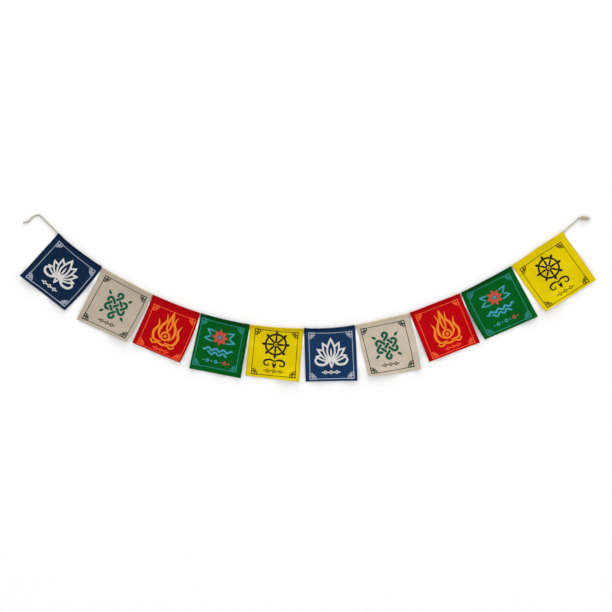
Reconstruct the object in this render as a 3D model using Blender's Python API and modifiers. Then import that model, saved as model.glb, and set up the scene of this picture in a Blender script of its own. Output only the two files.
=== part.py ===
"""A string of ten small cotton prayer flags, lying on a table with its thin cord.

Run with: blender --background --python part.py
Metres, +Z up. Seen from above, +X runs along the string from its left end, and +Y points from the flags'
bottom edges to the cord. The origin is on the table, in the middle of the box round the ten flags.

Each flag is one rectangle of cloth. Its top edge is turned to the back round the cord and sewn down, which
makes the casing. The cord is one piece; its solid is parted inside the two end casings, out of sight.
"""

import math
from collections import namedtuple

import bmesh
import bpy
import numpy as np

# Cloth and cord
CLOTH_THICKNESS = 0.001
CORD_DIAMETER = 0.0026
CORD_CLEARANCE = 0.0003  # between the cord and the casing round it
LAYER_GAP = 0.0003  # between the two layers of a casing, at its seam
RESTING_GAP = 0.0001  # under the hem and the free cord, so that the flags' open cloth is lowest

# The casing, as distances down the flag from the cord's middle
HEM_END = 0.0085  # where the turned-under cloth ends
SEAM_START = 0.0070
SEAM_END = 0.0092
TABLE_START = 0.0155  # where the front layer has come down to the table
SLOPE_SAG = 0.35  # the height halfway down that slope, as a share of its top
CASING_TURN = math.radians(225)  # how far the cloth bends round the cord
CASING_STEPS = 6
FLARE_LENGTH = 0.012  # how far from its mouth a casing begins to flare

# How finely the cloth is divided
FLAG_COLUMNS = 11
BODY_ROWS = 8

# The free cord ends come down from the casings to the table over this length
CORD_LANDING = 0.014
PARTING_DEPTH = 0.008  # how far inside the end casings the cord's solid is parted
PARTING_GAP = 0.0003
FREE_POINT_STEP = 0.0045
HELD_POINT_STEP = 0.013

# The middle of the box round the flags, in the frame that the tables below are measured in
BOX_MIDDLE = (-0.00045, 0.00072)

# The cord's route seen from above, from its bare left end to its knot
RoutePoint = namedtuple("RoutePoint", "place x y")
CORD_ROUTE = [
    RoutePoint("bare end", -0.4750, 0.1407),
    RoutePoint("left end", -0.4706, 0.1406),
    RoutePoint("left end", -0.4667, 0.1417),
    RoutePoint("left end", -0.4637, 0.1444),
    RoutePoint("left end", -0.4612, 0.1476),
    RoutePoint("left end", -0.4582, 0.1500),
    RoutePoint("left end", -0.4544, 0.1518),
    RoutePoint("left bend", -0.4509, 0.1530),
    RoutePoint("left bend", -0.4472, 0.1523),
    RoutePoint("left end", -0.4440, 0.1495),
    RoutePoint("left end", -0.4396, 0.1450),
    RoutePoint("left end", -0.4345, 0.1400),
    RoutePoint("left end", -0.4292, 0.1349),
    RoutePoint("left end", -0.4235, 0.1290),
    RoutePoint("left mouth", -0.4168, 0.1215),
    RoutePoint("flag 1", -0.3995, 0.1051),
    RoutePoint("flag 1", -0.3806, 0.0903),
    RoutePoint("flag 1", -0.3612, 0.0765),
    RoutePoint("joint 1-2", -0.3435, 0.0640),
    RoutePoint("flag 2", -0.3018, 0.0408),
    RoutePoint("joint 2-3", -0.2592, 0.0188),
    RoutePoint("flag 3", -0.2205, 0.0023),
    RoutePoint("joint 3-4", -0.1796, -0.0121),
    RoutePoint("flag 4", -0.1383, -0.0230),
    RoutePoint("joint 4-5", -0.0970, -0.0313),
    RoutePoint("flag 5", -0.0523, -0.0361),
    RoutePoint("joint 5-6", -0.0075, -0.0377),
    RoutePoint("flag 6", 0.0353, -0.0371),
    RoutePoint("joint 6-7", 0.0791, -0.0320),
    RoutePoint("flag 7", 0.1237, -0.0223),
    RoutePoint("joint 7-8", 0.1690, -0.0113),
    RoutePoint("flag 8", 0.2102, 0.0041),
    RoutePoint("joint 8-9", 0.2540, 0.0216),
    RoutePoint("flag 9", 0.2974, 0.0437),
    RoutePoint("joint 9-10", 0.3392, 0.0669),
    RoutePoint("flag 10", 0.3821, 0.0963),
    RoutePoint("right mouth", 0.4241, 0.1243),
    RoutePoint("right end", 0.4337, 0.1326),
    RoutePoint("right end", 0.4402, 0.1378),
    RoutePoint("right end", 0.4445, 0.1415),
    RoutePoint("knot", 0.4490, 0.1466),
]

# The open cord between neighbouring flags at each joint; at the mouths the flag ends at the place itself
JOINT_GAPS = {
    "joint 1-2": 0.0012,
    "joint 2-3": 0.0009,
    "joint 3-4": 0.0016,
    "joint 4-5": 0.0009,
    "joint 5-6": 0.0009,
    "joint 6-7": 0.0022,
    "joint 7-8": 0.0011,
    "joint 8-9": 0.0025,
    "joint 9-10": 0.0023,
}

# One row per flag: the places that its casing runs between, its bottom corners as it lies, how far its
# sides bow in the middle, and how far each mouth of its casing is rounded off and how far it flares
Flag = namedtuple(
    "Flag",
    "name cloth start end bottom_left bottom_right left_bow right_bow bottom_bow"
    " left_round right_round left_flare right_flare",
)
FLAGS = [
    Flag("flag_01", "navy", "left mouth", "joint 1-2",
         (-0.4800, 0.0515), (-0.4055, -0.0060), 0.0, 0.0023, -0.0003, 0.0, 0.0032, 0.0, 0.0014),
    Flag("flag_02", "beige", "joint 1-2", "joint 2-3",
         (-0.3855, -0.0210), (-0.3025, -0.0585), 0.0, 0.0021, 0.0, 0.0, 0.0, 0.0, 0.0),
    Flag("flag_03", "red", "joint 2-3", "joint 3-4",
         (-0.2930, -0.0595), (-0.2140, -0.0930), -0.0005, 0.0026, 0.0005, 0.0, 0.0012, 0.0, 0.0),
    Flag("flag_04", "green", "joint 3-4", "joint 4-5",
         (-0.1980, -0.1025), (-0.1125, -0.1190), 0.0, 0.0, 0.0, 0.0, 0.0032, 0.0, 0.0007),
    Flag("flag_05", "yellow", "joint 4-5", "joint 5-6",
         (-0.1045, -0.1145), (-0.0155, -0.1250), 0.0, -0.0003, 0.0, 0.0, 0.0034, 0.0, 0.0),
    Flag("flag_06", "navy", "joint 5-6", "joint 6-7",
         (-0.0042, -0.1245), (0.0820, -0.1230), 0.0, 0.0005, 0.0, 0.0, 0.0030, 0.0009, 0.0),
    Flag("flag_07", "beige", "joint 6-7", "joint 7-8",
         (0.1005, -0.1158), (0.1878, -0.1035), 0.0, 0.0013, 0.0018, 0.0, 0.0, 0.0, 0.0),
    Flag("flag_08", "red", "joint 7-8", "joint 8-9",
         (0.2018, -0.0920), (0.2860, -0.0595), 0.0, 0.0, -0.0003, 0.0012, 0.0, 0.0, 0.0),
    Flag("flag_09", "green", "joint 8-9", "joint 9-10",
         (0.2945, -0.0545), (0.3825, -0.0162), 0.0027, 0.0, 0.0003, 0.0, 0.0, 0.0, 0.0),
    Flag("flag_10", "yellow", "joint 9-10", "right mouth",
         (0.3943, -0.0080), (0.4791, 0.0449), 0.0010, 0.0, 0.0005, 0.0, 0.0012, 0.0005, 0.0),
]

# One row per place where a flag rises off the table: the line that the rise follows, as fractions across
# the flag from its left and down it from its cord, how far it reaches to each side, and its height
Fold = namedtuple("Fold", "flag across_1 down_1 across_2 down_2 reach rise")
FOLDS = [
    Fold("flag_01", 0.00, 1.00, 0.22, 1.00, 0.026, 0.0042),
    Fold("flag_01", 0.98, 0.30, 0.86, 0.62, 0.018, 0.0020),
    Fold("flag_01", 0.80, 1.00, 1.00, 1.00, 0.018, 0.0028),
    Fold("flag_02", 0.02, 0.30, 0.00, 0.85, 0.014, 0.0022),
    Fold("flag_02", 0.78, 1.00, 1.00, 0.98, 0.024, 0.0038),
    Fold("flag_03", 0.00, 0.72, 0.00, 1.00, 0.018, 0.0030),
    Fold("flag_03", 0.42, 0.86, 0.50, 1.00, 0.014, 0.0018),
    Fold("flag_03", 1.00, 0.45, 1.00, 1.00, 0.020, 0.0030),
    Fold("flag_04", 0.00, 1.00, 0.10, 0.80, 0.020, 0.0034),
    Fold("flag_04", 0.60, 1.00, 0.70, 0.90, 0.014, 0.0016),
    Fold("flag_04", 1.00, 0.72, 1.00, 1.00, 0.018, 0.0030),
    Fold("flag_05", 0.00, 0.40, 0.02, 0.70, 0.013, 0.0018),
    Fold("flag_05", 0.70, 1.00, 1.00, 0.96, 0.022, 0.0036),
    Fold("flag_06", 0.02, 0.28, 0.00, 0.75, 0.015, 0.0022),
    Fold("flag_06", 0.88, 1.00, 1.00, 0.90, 0.018, 0.0030),
    Fold("flag_06", 0.25, 1.00, 0.45, 1.00, 0.014, 0.0016),
    Fold("flag_07", 0.05, 0.42, 0.24, 0.26, 0.016, 0.0020),
    Fold("flag_07", 0.04, 1.00, 0.34, 1.00, 0.020, 0.0036),
    Fold("flag_07", 0.98, 0.70, 1.00, 1.00, 0.020, 0.0034),
    Fold("flag_08", 0.00, 0.40, 0.00, 0.80, 0.014, 0.0022),
    Fold("flag_08", 0.97, 0.40, 1.00, 0.90, 0.016, 0.0026),
    Fold("flag_08", 0.20, 1.00, 0.30, 0.92, 0.014, 0.0018),
    Fold("flag_09", 0.00, 0.45, 0.00, 0.80, 0.018, 0.0030),
    Fold("flag_09", 0.82, 1.00, 1.00, 1.00, 0.018, 0.0030),
    Fold("flag_10", 0.04, 1.00, 0.26, 1.00, 0.024, 0.0040),
    Fold("flag_10", 0.55, 1.00, 0.62, 0.88, 0.013, 0.0016),
    Fold("flag_10", 1.00, 0.55, 1.00, 0.95, 0.017, 0.0030),
]
# The cloth is held down near its cord: it begins to rise and rises fully at these distances from it
FOLDS_BEGIN = 0.020
FOLDS_FULL = 0.034

# The knot in the right end: a flat bundle of three runs of cord side by side
KNOT_PLACE = (0.4596, 0.1475)
KNOT_LENGTH = 0.0216
KNOT_RUNS_PER_HALF = 3
KNOT_BLUNTNESS = 1.9  # how soon it reaches its full width from its ends
KNOT_RIDGE = 0.16  # how deep the lines between the runs are, as a share of the knot's size there
KNOT_FLATTENED = 1.3  # how far the underside would bulge past the table, which leaves it flat
KNOT_SEGMENTS = 28
KNOT_RINGS = 16
KnotSection = namedtuple("KnotSection", "along half_width height")
KNOT_SECTIONS = [
    KnotSection(0.00, 0.0016, 0.0026),
    KnotSection(0.12, 0.0027, 0.0044),
    KnotSection(0.30, 0.0036, 0.0056),
    KnotSection(0.60, 0.0043, 0.0054),
    KnotSection(0.85, 0.0037, 0.0046),
    KnotSection(1.00, 0.0022, 0.0032),
]

# Sizes that follow from those above
CORD_RADIUS = CORD_DIAMETER / 2
CASING_RADIUS = (CORD_RADIUS + CORD_CLEARANCE) / math.cos(CASING_TURN / CASING_STEPS / 2)
HEM_TOP = RESTING_GAP + CLOTH_THICKNESS
CORD_IN_CASING = HEM_TOP + CASING_RADIUS
CORD_ON_TABLE = RESTING_GAP + CORD_RADIUS
FOLD_LINE = CASING_RADIUS + CLOTH_THICKNESS  # distance from the cord's middle up to the flag's top edge

CLOTH_COLOURS = {
    "navy": (0.010, 0.030, 0.100),
    "beige": (0.520, 0.430, 0.340),
    "red": (0.500, 0.005, 0.010),
    "green": (0.008, 0.110, 0.020),
    "yellow": (0.780, 0.600, 0.010),
}
CORD_COLOUR = (0.560, 0.500, 0.390)


def clear_scene():
    for obj in list(bpy.data.objects):
        bpy.data.objects.remove(obj, do_unlink=True)


def plain_material(name, colour, roughness):
    material = bpy.data.materials.new(name)
    material.use_nodes = True
    shader = material.node_tree.nodes["Principled BSDF"]
    shader.inputs["Base Color"].default_value = (*colour, 1)
    shader.inputs["Roughness"].default_value = roughness
    shader.inputs["Metallic"].default_value = 0
    return material


def smooth_step(value, low, high):
    share = min(max((value - low) / (high - low), 0), 1)
    return share * share * (3 - 2 * share)


class Route:
    """A smooth curve through hand-placed points, read by the distance along it."""

    STEPS = 24  # straight bits from one route point to the next

    def __init__(self, points):
        placed = np.array([(p.x, p.y) for p in points]) - BOX_MIDDLE
        ends = [2 * placed[0] - placed[1], *placed, 2 * placed[-1] - placed[-2]]
        fine = [placed[0]]
        for before, start, end, after in zip(ends, ends[1:], ends[2:], ends[3:]):
            reach = np.linalg.norm(end - start)
            leave = self.pull(before, start, end) * reach
            arrive = self.pull(start, end, after) * reach
            for t in np.arange(1, self.STEPS + 1) / self.STEPS:
                fine.append(
                    (2 * t**3 - 3 * t**2 + 1) * start
                    + (t**3 - 2 * t**2 + t) * leave
                    + (3 * t**2 - 2 * t**3) * end
                    + (t**3 - t**2) * arrive
                )
        self.fine = np.array(fine)
        steps = np.linalg.norm(np.diff(self.fine, axis=0), axis=1)
        self.along = np.concatenate([[0], np.cumsum(steps)])
        self.length = self.along[-1]
        self.stations = {p.place: self.along[i * self.STEPS] for i, p in enumerate(points)}

    @staticmethod
    def pull(before, here, after):
        """The curve's direction at a point, from the points on its two sides."""
        near = np.linalg.norm(here - before)
        far = np.linalg.norm(after - here)
        way = (here - before) / near * far + (after - here) / far * near
        return way / np.linalg.norm(way)

    def point(self, station):
        return np.array([np.interp(station, self.along, self.fine[:, i]) for i in range(2)])

    def height(self, station):
        """The cord's middle: in the casings between the two mouths, and on the table past them."""
        outside = max(self.stations["left mouth"] - station, station - self.stations["right mouth"], 0)
        landed = smooth_step(outside, 0, CORD_LANDING)
        return CORD_IN_CASING + (CORD_ON_TABLE - CORD_IN_CASING) * landed


def casing_section():
    """The cloth's inner face from the hem, round the cord, to the table: distances down and heights."""
    section = [(HEM_END, HEM_TOP), (HEM_END / 2, HEM_TOP)]
    for step in range(CASING_STEPS + 1):
        angle = -math.pi / 2 - CASING_TURN * step / CASING_STEPS
        section.append((CASING_RADIUS * math.cos(angle), CORD_IN_CASING + CASING_RADIUS * math.sin(angle)))
    on_hem = HEM_TOP + LAYER_GAP
    section += [(SEAM_START, on_hem), (SEAM_END, on_hem)]
    section += [((SEAM_END + TABLE_START) / 2, on_hem * SLOPE_SAG), (TABLE_START, 0)]
    return section


class Cloth:
    """Where each point of a flag lies, by its place across the flag and its distance from the cord."""

    JUST_DOWN = 0.02  # the share of the flag's depth that gives its direction at the cord

    def __init__(self, flag, route):
        self.flag = flag
        self.route = route
        self.start = route.stations[flag.start] + JOINT_GAPS.get(flag.start, 0) / 2
        self.end = route.stations[flag.end] - JOINT_GAPS.get(flag.end, 0) / 2
        self.width = self.end - self.start
        self.bottom_left = np.array(flag.bottom_left) - BOX_MIDDLE
        self.bottom_right = np.array(flag.bottom_right) - BOX_MIDDLE
        self.top_left = route.point(self.start)
        self.top_right = route.point(self.end)
        self.folds = [fold for fold in FOLDS if fold.flag == flag.name]

    @staticmethod
    def bowed(start, end, share, bow):
        """A point on the side from start to end, bowed to the right of that way."""
        way = (end - start) / np.linalg.norm(end - start)
        outward = np.array([way[1], -way[0]])
        return start + (end - start) * share + outward * bow * 4 * share * (1 - share)

    def on_table(self, across, down):
        """The patch between the cord's line and the other three edges, at fractions across and down it."""
        flag = self.flag
        top = self.route.point(self.start + self.width * across)
        bottom = self.bowed(self.bottom_left, self.bottom_right, across, flag.bottom_bow)
        left = self.bowed(self.top_left, self.bottom_left, down, flag.left_bow)
        right = self.bowed(self.top_right, self.bottom_right, down, -flag.right_bow)
        corners = (
            (1 - across) * ((1 - down) * self.top_left + down * self.bottom_left)
            + across * ((1 - down) * self.top_right + down * self.bottom_right)
        )
        return (1 - down) * top + down * bottom + (1 - across) * left + across * right - corners

    def depth(self, across):
        return np.linalg.norm(self.on_table(across, 1) - self.on_table(across, 0))

    def rounded(self, across, distance):
        """The place across the flag, drawn in where a mouth of the casing is rounded at the top edge."""
        drawn = []
        for size in (self.flag.left_round, self.flag.right_round):
            short = max(size - (distance + FOLD_LINE), 0)
            drawn.append(size - math.sqrt(size**2 - short**2) if short else 0)
        return (drawn[0] + across * (self.width - drawn[0] - drawn[1])) / self.width

    def flare(self, across):
        """How much further the casing reaches beyond its cord there than in its middle."""
        left = 1 - smooth_step(across * self.width, 0, FLARE_LENGTH)
        right = 1 - smooth_step((1 - across) * self.width, 0, FLARE_LENGTH)
        return self.flag.left_flare * left + self.flag.right_flare * right

    def rise(self, across, distance, depth):
        """How far the folds lift the cloth off the table there."""
        here = np.array([across * self.width, distance])
        height = 0
        for fold in self.folds:
            start = np.array([fold.across_1 * self.width, fold.down_1 * depth])
            way = np.array([fold.across_2 * self.width, fold.down_2 * depth]) - start
            share = min(max(np.dot(here - start, way) / np.dot(way, way), 0), 1)
            away = np.linalg.norm(here - start - way * share) / fold.reach
            height += fold.rise * max(1 - away**2, 0) ** 2
        return height * smooth_step(distance, FOLDS_BEGIN, FOLDS_FULL)

    def point(self, across, distance, height):
        """distance runs down the flag from the cord, and is negative above it."""
        across = self.rounded(across, distance)
        depth = self.depth(across)
        place = self.on_table(across, max(distance, 0) / depth)
        if distance < 0:
            down = self.on_table(across, self.JUST_DOWN) - place
            reach = distance * (1 + self.flare(across) / FOLD_LINE)
            place = place + down / np.linalg.norm(down) * reach
        return (*place, height + self.rise(across, distance, depth))


def add_flag(flag, route, collection, materials):
    """A grid laid on the flag's folds and turned round its cord, then given the cloth's thickness."""
    cloth = Cloth(flag, route)
    section = casing_section()
    rows = len(section) + BODY_ROWS - 1
    grid = bmesh.new()
    bmesh.ops.create_grid(grid, x_segments=FLAG_COLUMNS, y_segments=rows, size=1)
    for vertex in grid.verts:
        across = (vertex.co.x + 1) / 2
        row = round((1 - vertex.co.y) / 2 * rows)
        if row < len(section):
            distance, height = section[row]
        else:
            share = (row - len(section) + 1) / BODY_ROWS
            distance = TABLE_START + (cloth.depth(across) - TABLE_START) * share
            height = 0
        vertex.co = cloth.point(across, distance, height)
    mesh = bpy.data.meshes.new(flag.name)
    grid.to_mesh(mesh)
    grid.free()
    mesh.materials.append(materials[flag.cloth])
    obj = bpy.data.objects.new(flag.name, mesh)
    collection.objects.link(obj)
    wall = obj.modifiers.new("cloth", "SOLIDIFY")
    wall.thickness = CLOTH_THICKNESS
    wall.offset = 1
    wall.use_even_offset = True
    mesh.shade_smooth()
    mesh.set_sharp_from_angle(angle=math.radians(50))


def add_cord(name, route, start, end, step, collection, material):
    """A stretch of the cord as a tube, from one distance along its route to another."""
    curve = bpy.data.curves.new(name, "CURVE")
    curve.dimensions = "3D"
    curve.bevel_depth = CORD_RADIUS
    curve.bevel_resolution = 2
    curve.use_fill_caps = True
    stations = np.linspace(start, end, round((end - start) / step) + 1)
    spline = curve.splines.new("POLY")
    spline.points.add(len(stations) - 1)
    for point, station in zip(spline.points, stations):
        point.co = (*route.point(station), route.height(station), 1)
    curve.materials.append(material)
    collection.objects.link(bpy.data.objects.new(name, curve))


def knot_section(along):
    """The knot's half width and height at a share of its length."""
    places = [section.along for section in KNOT_SECTIONS]
    half_width = np.interp(along, places, [section.half_width for section in KNOT_SECTIONS])
    height = np.interp(along, places, [section.height for section in KNOT_SECTIONS])
    return half_width, height


def add_knot(name, collection, material):
    """A ball drawn out to the knot's length, with a line between each run of cord, flat where it lies."""
    ball = bmesh.new()
    bmesh.ops.create_uvsphere(ball, u_segments=KNOT_SEGMENTS, v_segments=KNOT_RINGS, radius=1)
    centre = np.array(KNOT_PLACE) - BOX_MIDDLE
    for vertex in ball.verts:
        x, y, z = vertex.co.z, vertex.co.y, vertex.co.x
        round_off = math.sqrt(max(1 - x * x, 0))
        half_width, height = knot_section((x + 1) / 2)
        full = min(round_off * KNOT_BLUNTNESS, 1)
        angle = math.atan2(z, y)
        ridge = 1 - KNOT_RIDGE * (1 - abs(math.cos(KNOT_RUNS_PER_HALF * angle)))
        spread = ridge * full / round_off if round_off else 0
        place = centre + (x * KNOT_LENGTH / 2, y * spread * half_width)
        up = height / 2 * (1 + z * spread * (KNOT_FLATTENED if z < 0 else 1))
        vertex.co = (*place, max(up, 0) + RESTING_GAP)
    bmesh.ops.recalc_face_normals(ball, faces=ball.faces)
    mesh = bpy.data.meshes.new(name)
    ball.to_mesh(mesh)
    ball.free()
    mesh.materials.append(material)
    mesh.shade_smooth()
    collection.objects.link(bpy.data.objects.new(name, mesh))


def main():
    clear_scene()
    collection = bpy.data.collections.new("tibetan_prayer_flag_string")
    bpy.context.scene.collection.children.link(collection)
    cloths = {name: plain_material(f"{name}_cotton", colour, 0.9) for name, colour in CLOTH_COLOURS.items()}
    cotton_cord = plain_material("cotton_cord", CORD_COLOUR, 0.85)

    route = Route(CORD_ROUTE)
    for flag in FLAGS:
        add_flag(flag, route, collection, cloths)

    held_start = route.stations["left mouth"] + PARTING_DEPTH
    held_end = route.stations["right mouth"] - PARTING_DEPTH
    add_cord("cord_left_end", route, 0, held_start - PARTING_GAP, FREE_POINT_STEP, collection, cotton_cord)
    add_cord("cord_main", route, held_start, held_end, HELD_POINT_STEP, collection, cotton_cord)
    add_cord("cord_right_end", route, held_end + PARTING_GAP, route.stations["knot"] - PARTING_GAP,
             FREE_POINT_STEP, collection, cotton_cord)
    add_knot("cord_end_knot", collection, cotton_cord)


main()
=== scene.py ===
"""The looks of a string of ten small cotton prayer flags, lying on a table with its thin cord.

Laid out as an add-on and run as a script. Metres, +Z up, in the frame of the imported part: +X runs along the
string, +Y points from the flags' bottom edges to the cord, and the table is at height 0.
"""

import math
from collections import namedtuple

import bmesh
import bpy
import numpy as np
from bpy.props import FloatProperty, FloatVectorProperty, PointerProperty
from mathutils import Matrix, Vector
from mathutils.geometry import delaunay_2d_cdt


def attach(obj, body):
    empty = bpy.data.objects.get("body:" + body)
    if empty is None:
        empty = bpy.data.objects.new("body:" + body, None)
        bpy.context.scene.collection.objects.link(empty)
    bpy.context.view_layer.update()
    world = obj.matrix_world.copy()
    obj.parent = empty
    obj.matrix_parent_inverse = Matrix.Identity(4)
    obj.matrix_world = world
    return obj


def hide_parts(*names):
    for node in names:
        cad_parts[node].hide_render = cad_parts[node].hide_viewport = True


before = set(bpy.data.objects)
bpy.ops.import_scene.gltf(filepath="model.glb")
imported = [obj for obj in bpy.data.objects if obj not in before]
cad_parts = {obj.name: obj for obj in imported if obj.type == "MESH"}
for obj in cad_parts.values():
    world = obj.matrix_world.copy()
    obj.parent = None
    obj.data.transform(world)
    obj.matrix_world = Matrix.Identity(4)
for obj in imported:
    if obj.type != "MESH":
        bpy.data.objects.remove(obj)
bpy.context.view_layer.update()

bl_info = {
    "name": "Prayer flag string",
    "version": (1, 0, 0),
    "blender": (4, 5, 0),
    "location": "View3D > Sidebar > Flags",
    "description": "Makes the cloth, print, stitching, cord and stage of a string of prayer flags",
    "category": "Add Mesh",
}

MM = 1000  # millimetres in a metre

# The camera looks straight down from here, and sees this width of the table
VIEW_MIDDLE = (-0.00322, 0.00061)
VIEW_WIDTH = 1.020
CAMERA_LENS = 100
CAMERA_SENSOR = 36

# The light: a white tent that is brighter low down, and one soft lamp beyond the string's middle
TENT_WALLS = 1.9
TENT_TOP = 0.62
SOFTBOX_PLACE = (0.3, 4.1, 1.35)
SOFTBOX_SIZE = 2.5
SOFTBOX_POWER = 80.0
FLOOR_SIZE = 8
FLOOR_TONE = 0.873

# The casing, as distances down the flag from the cord's middle
HEM_END = 0.0085  # where the turned-under cloth ends
SEAM_START = 0.0066
SEAM_LINE = 0.0076
SEAM_END = 0.0088
TABLE_START = 0.0155  # where the front layer has come down to the table
SLOPE_SAG = 0.35  # the height halfway down that slope, as a share of its top
CASING_TURN = math.radians(225)  # how far the cloth bends round the cord
CASING_STEPS = 12
FLARE_LENGTH = 0.012  # how far from its mouth a casing begins to flare
LAYER_GAP = 0.0001  # between the two layers of a casing, at its seam
RESTING_GAP = 0.00015  # under the hem, which leaves room for its stitches

# The cord
CORD_LANDING = 0.014  # the free ends come down from the casings to the table over this length
PARTING_DEPTH = 0.008  # how far inside the end casings one piece of the cord follows the other
PARTING_GAP = 0.0003
ON_TABLE_GAP = 0.0001
STRANDS = 3
STRAND_TURN_LENGTH = 0.0085  # of one whole turn of the strands round the cord
CORD_RING_STEP = 0.0009
CORD_RING_POINTS = 18
CORD_VALLEY = 0.33  # the least distance of its outline from its middle, as a share of its diameter
CORD_TIP = 1.5  # how far a drawn-in end reaches, in diameters by how much it is drawn in
LEFT_END_SHADE = 0.80  # how light the left end is beside the rest of the cord: painted shade, where the light falls off towards the left end

# The knot in the right end, where the cord goes back round itself and is pulled tight
KNOT_MIDDLE = (0.4603, 0.1473)  # of its turns
KNOT_WRAPS_LENGTH = 0.0094
KNOT_TURNS = 3.5
KNOT_SLANT = 0.0022  # how far each turn leans along the knot, to each side of its middle
KNOT_HALF_WIDTH = 0.0032  # of the turns, measured to the cord's middle
KNOT_HALF_HEIGHT = 0.00130
KNOT_HEIGHT = 0.00278  # of its middle above the table
KNOT_RUNS_APART = 0.00085  # each of the two inner runs from its middle
KNOT_TIGHT = 1.10  # the cord's size inside the knot, where its strands spread, as a share
KNOT_TAIL_END = (0.4703, 0.1470)
KNOT_JOINT = 0.00001  # between the free run's piece and the knot's
KNOT_STEP = 0.0006  # between the rings of the cord in it
KNOT_STEPS_PER_TURN = 12
KNOT_NARROW = 0.28  # how much narrower the turns are at both ends of the knot
KNOT_FULLEST = 1.25  # above 1, the fullest turn lies nearer the left end
KNOT_LEAD = 0.0020  # how far the cord goes on in its direction after the free run
KNOT_RUN_STARTS = (0.0015, 0.0030)  # of the two inner runs, from the left end of the turns
KNOT_RUN_POINTS = 4
KNOT_BEND = (0.0014, 1.7)  # how far the first run goes past the turns, and how much it moves outward there
KNOT_WAY_OUT = (0.0018, -0.0004, -0.0006)  # where the tail leaves, past the turns, across and up
KNOT_TIGHTENS = 0.004  # the length over which the cord gets its size inside the knot
HIDDEN_END = 0.98  # the sizes of two ends of the cord beside its own: in the casing, and cut
CUT_END = 0.9
# Where the cord comes in at the left end of the turns and where it goes back round itself there, as distances
# along the knot from that end, across it and up
KNOT_WAY_IN = ((-0.0031, 0.0013, -0.0006), (-0.0009, 0.0010, 0.0))
KNOT_LOOP = ((-0.0016, -0.0020, 0.0005), (-0.0031, -0.0004, 0.0013), (-0.0023, 0.0014, 0.0007),
             (0.0004, 0.0011, 0.0))

# The middle of the box round the flags, in the frame that the tables below are measured in
BOX_MIDDLE = (-0.00045, 0.00072)

# The cord's route seen from above, from its bare left end to its knot: at each place, its own point and
# the points on the way to the next place
CORD_ROUTE = {
    "bare end": [
        (-0.4750, 0.1407), (-0.4706, 0.1406), (-0.4667, 0.1417), (-0.4637, 0.1444), (-0.4612, 0.1476),
        (-0.4582, 0.1500), (-0.4544, 0.1518), (-0.4509, 0.1530), (-0.4472, 0.1523), (-0.4440, 0.1495),
        (-0.4396, 0.1450), (-0.4345, 0.1400), (-0.4292, 0.1349), (-0.4235, 0.1290),
    ],
    "left mouth": [(-0.4168, 0.1215), (-0.3995, 0.1051), (-0.3806, 0.0903), (-0.3612, 0.0765)],
    "joint 1-2": [(-0.3435, 0.0640), (-0.3018, 0.0408)],
    "joint 2-3": [(-0.2592, 0.0188), (-0.2205, 0.0023)],
    "joint 3-4": [(-0.1796, -0.0121), (-0.1383, -0.0230)],
    "joint 4-5": [(-0.0970, -0.0313), (-0.0523, -0.0361)],
    "joint 5-6": [(-0.0075, -0.0377), (0.0353, -0.0371)],
    "joint 6-7": [(0.0791, -0.0320), (0.1237, -0.0223)],
    "joint 7-8": [(0.1690, -0.0113), (0.2102, 0.0041)],
    "joint 8-9": [(0.2540, 0.0216), (0.2974, 0.0437)],
    "joint 9-10": [(0.3392, 0.0669), (0.3821, 0.0963)],
    "right mouth": [(0.4241, 0.1243), (0.4337, 0.1326), (0.4402, 0.1378), (0.4445, 0.1415)],
    "knot": [(0.4490, 0.1466)],
}

# The open cord between neighbouring flags at each joint; at the mouths the flag ends at the place itself
JOINT_GAPS = {
    "joint 1-2": 0.0012,
    "joint 2-3": 0.0009,
    "joint 3-4": 0.0016,
    "joint 4-5": 0.0009,
    "joint 5-6": 0.0009,
    "joint 6-7": 0.0022,
    "joint 7-8": 0.0011,
    "joint 8-9": 0.0025,
    "joint 9-10": 0.0023,
}

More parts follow.
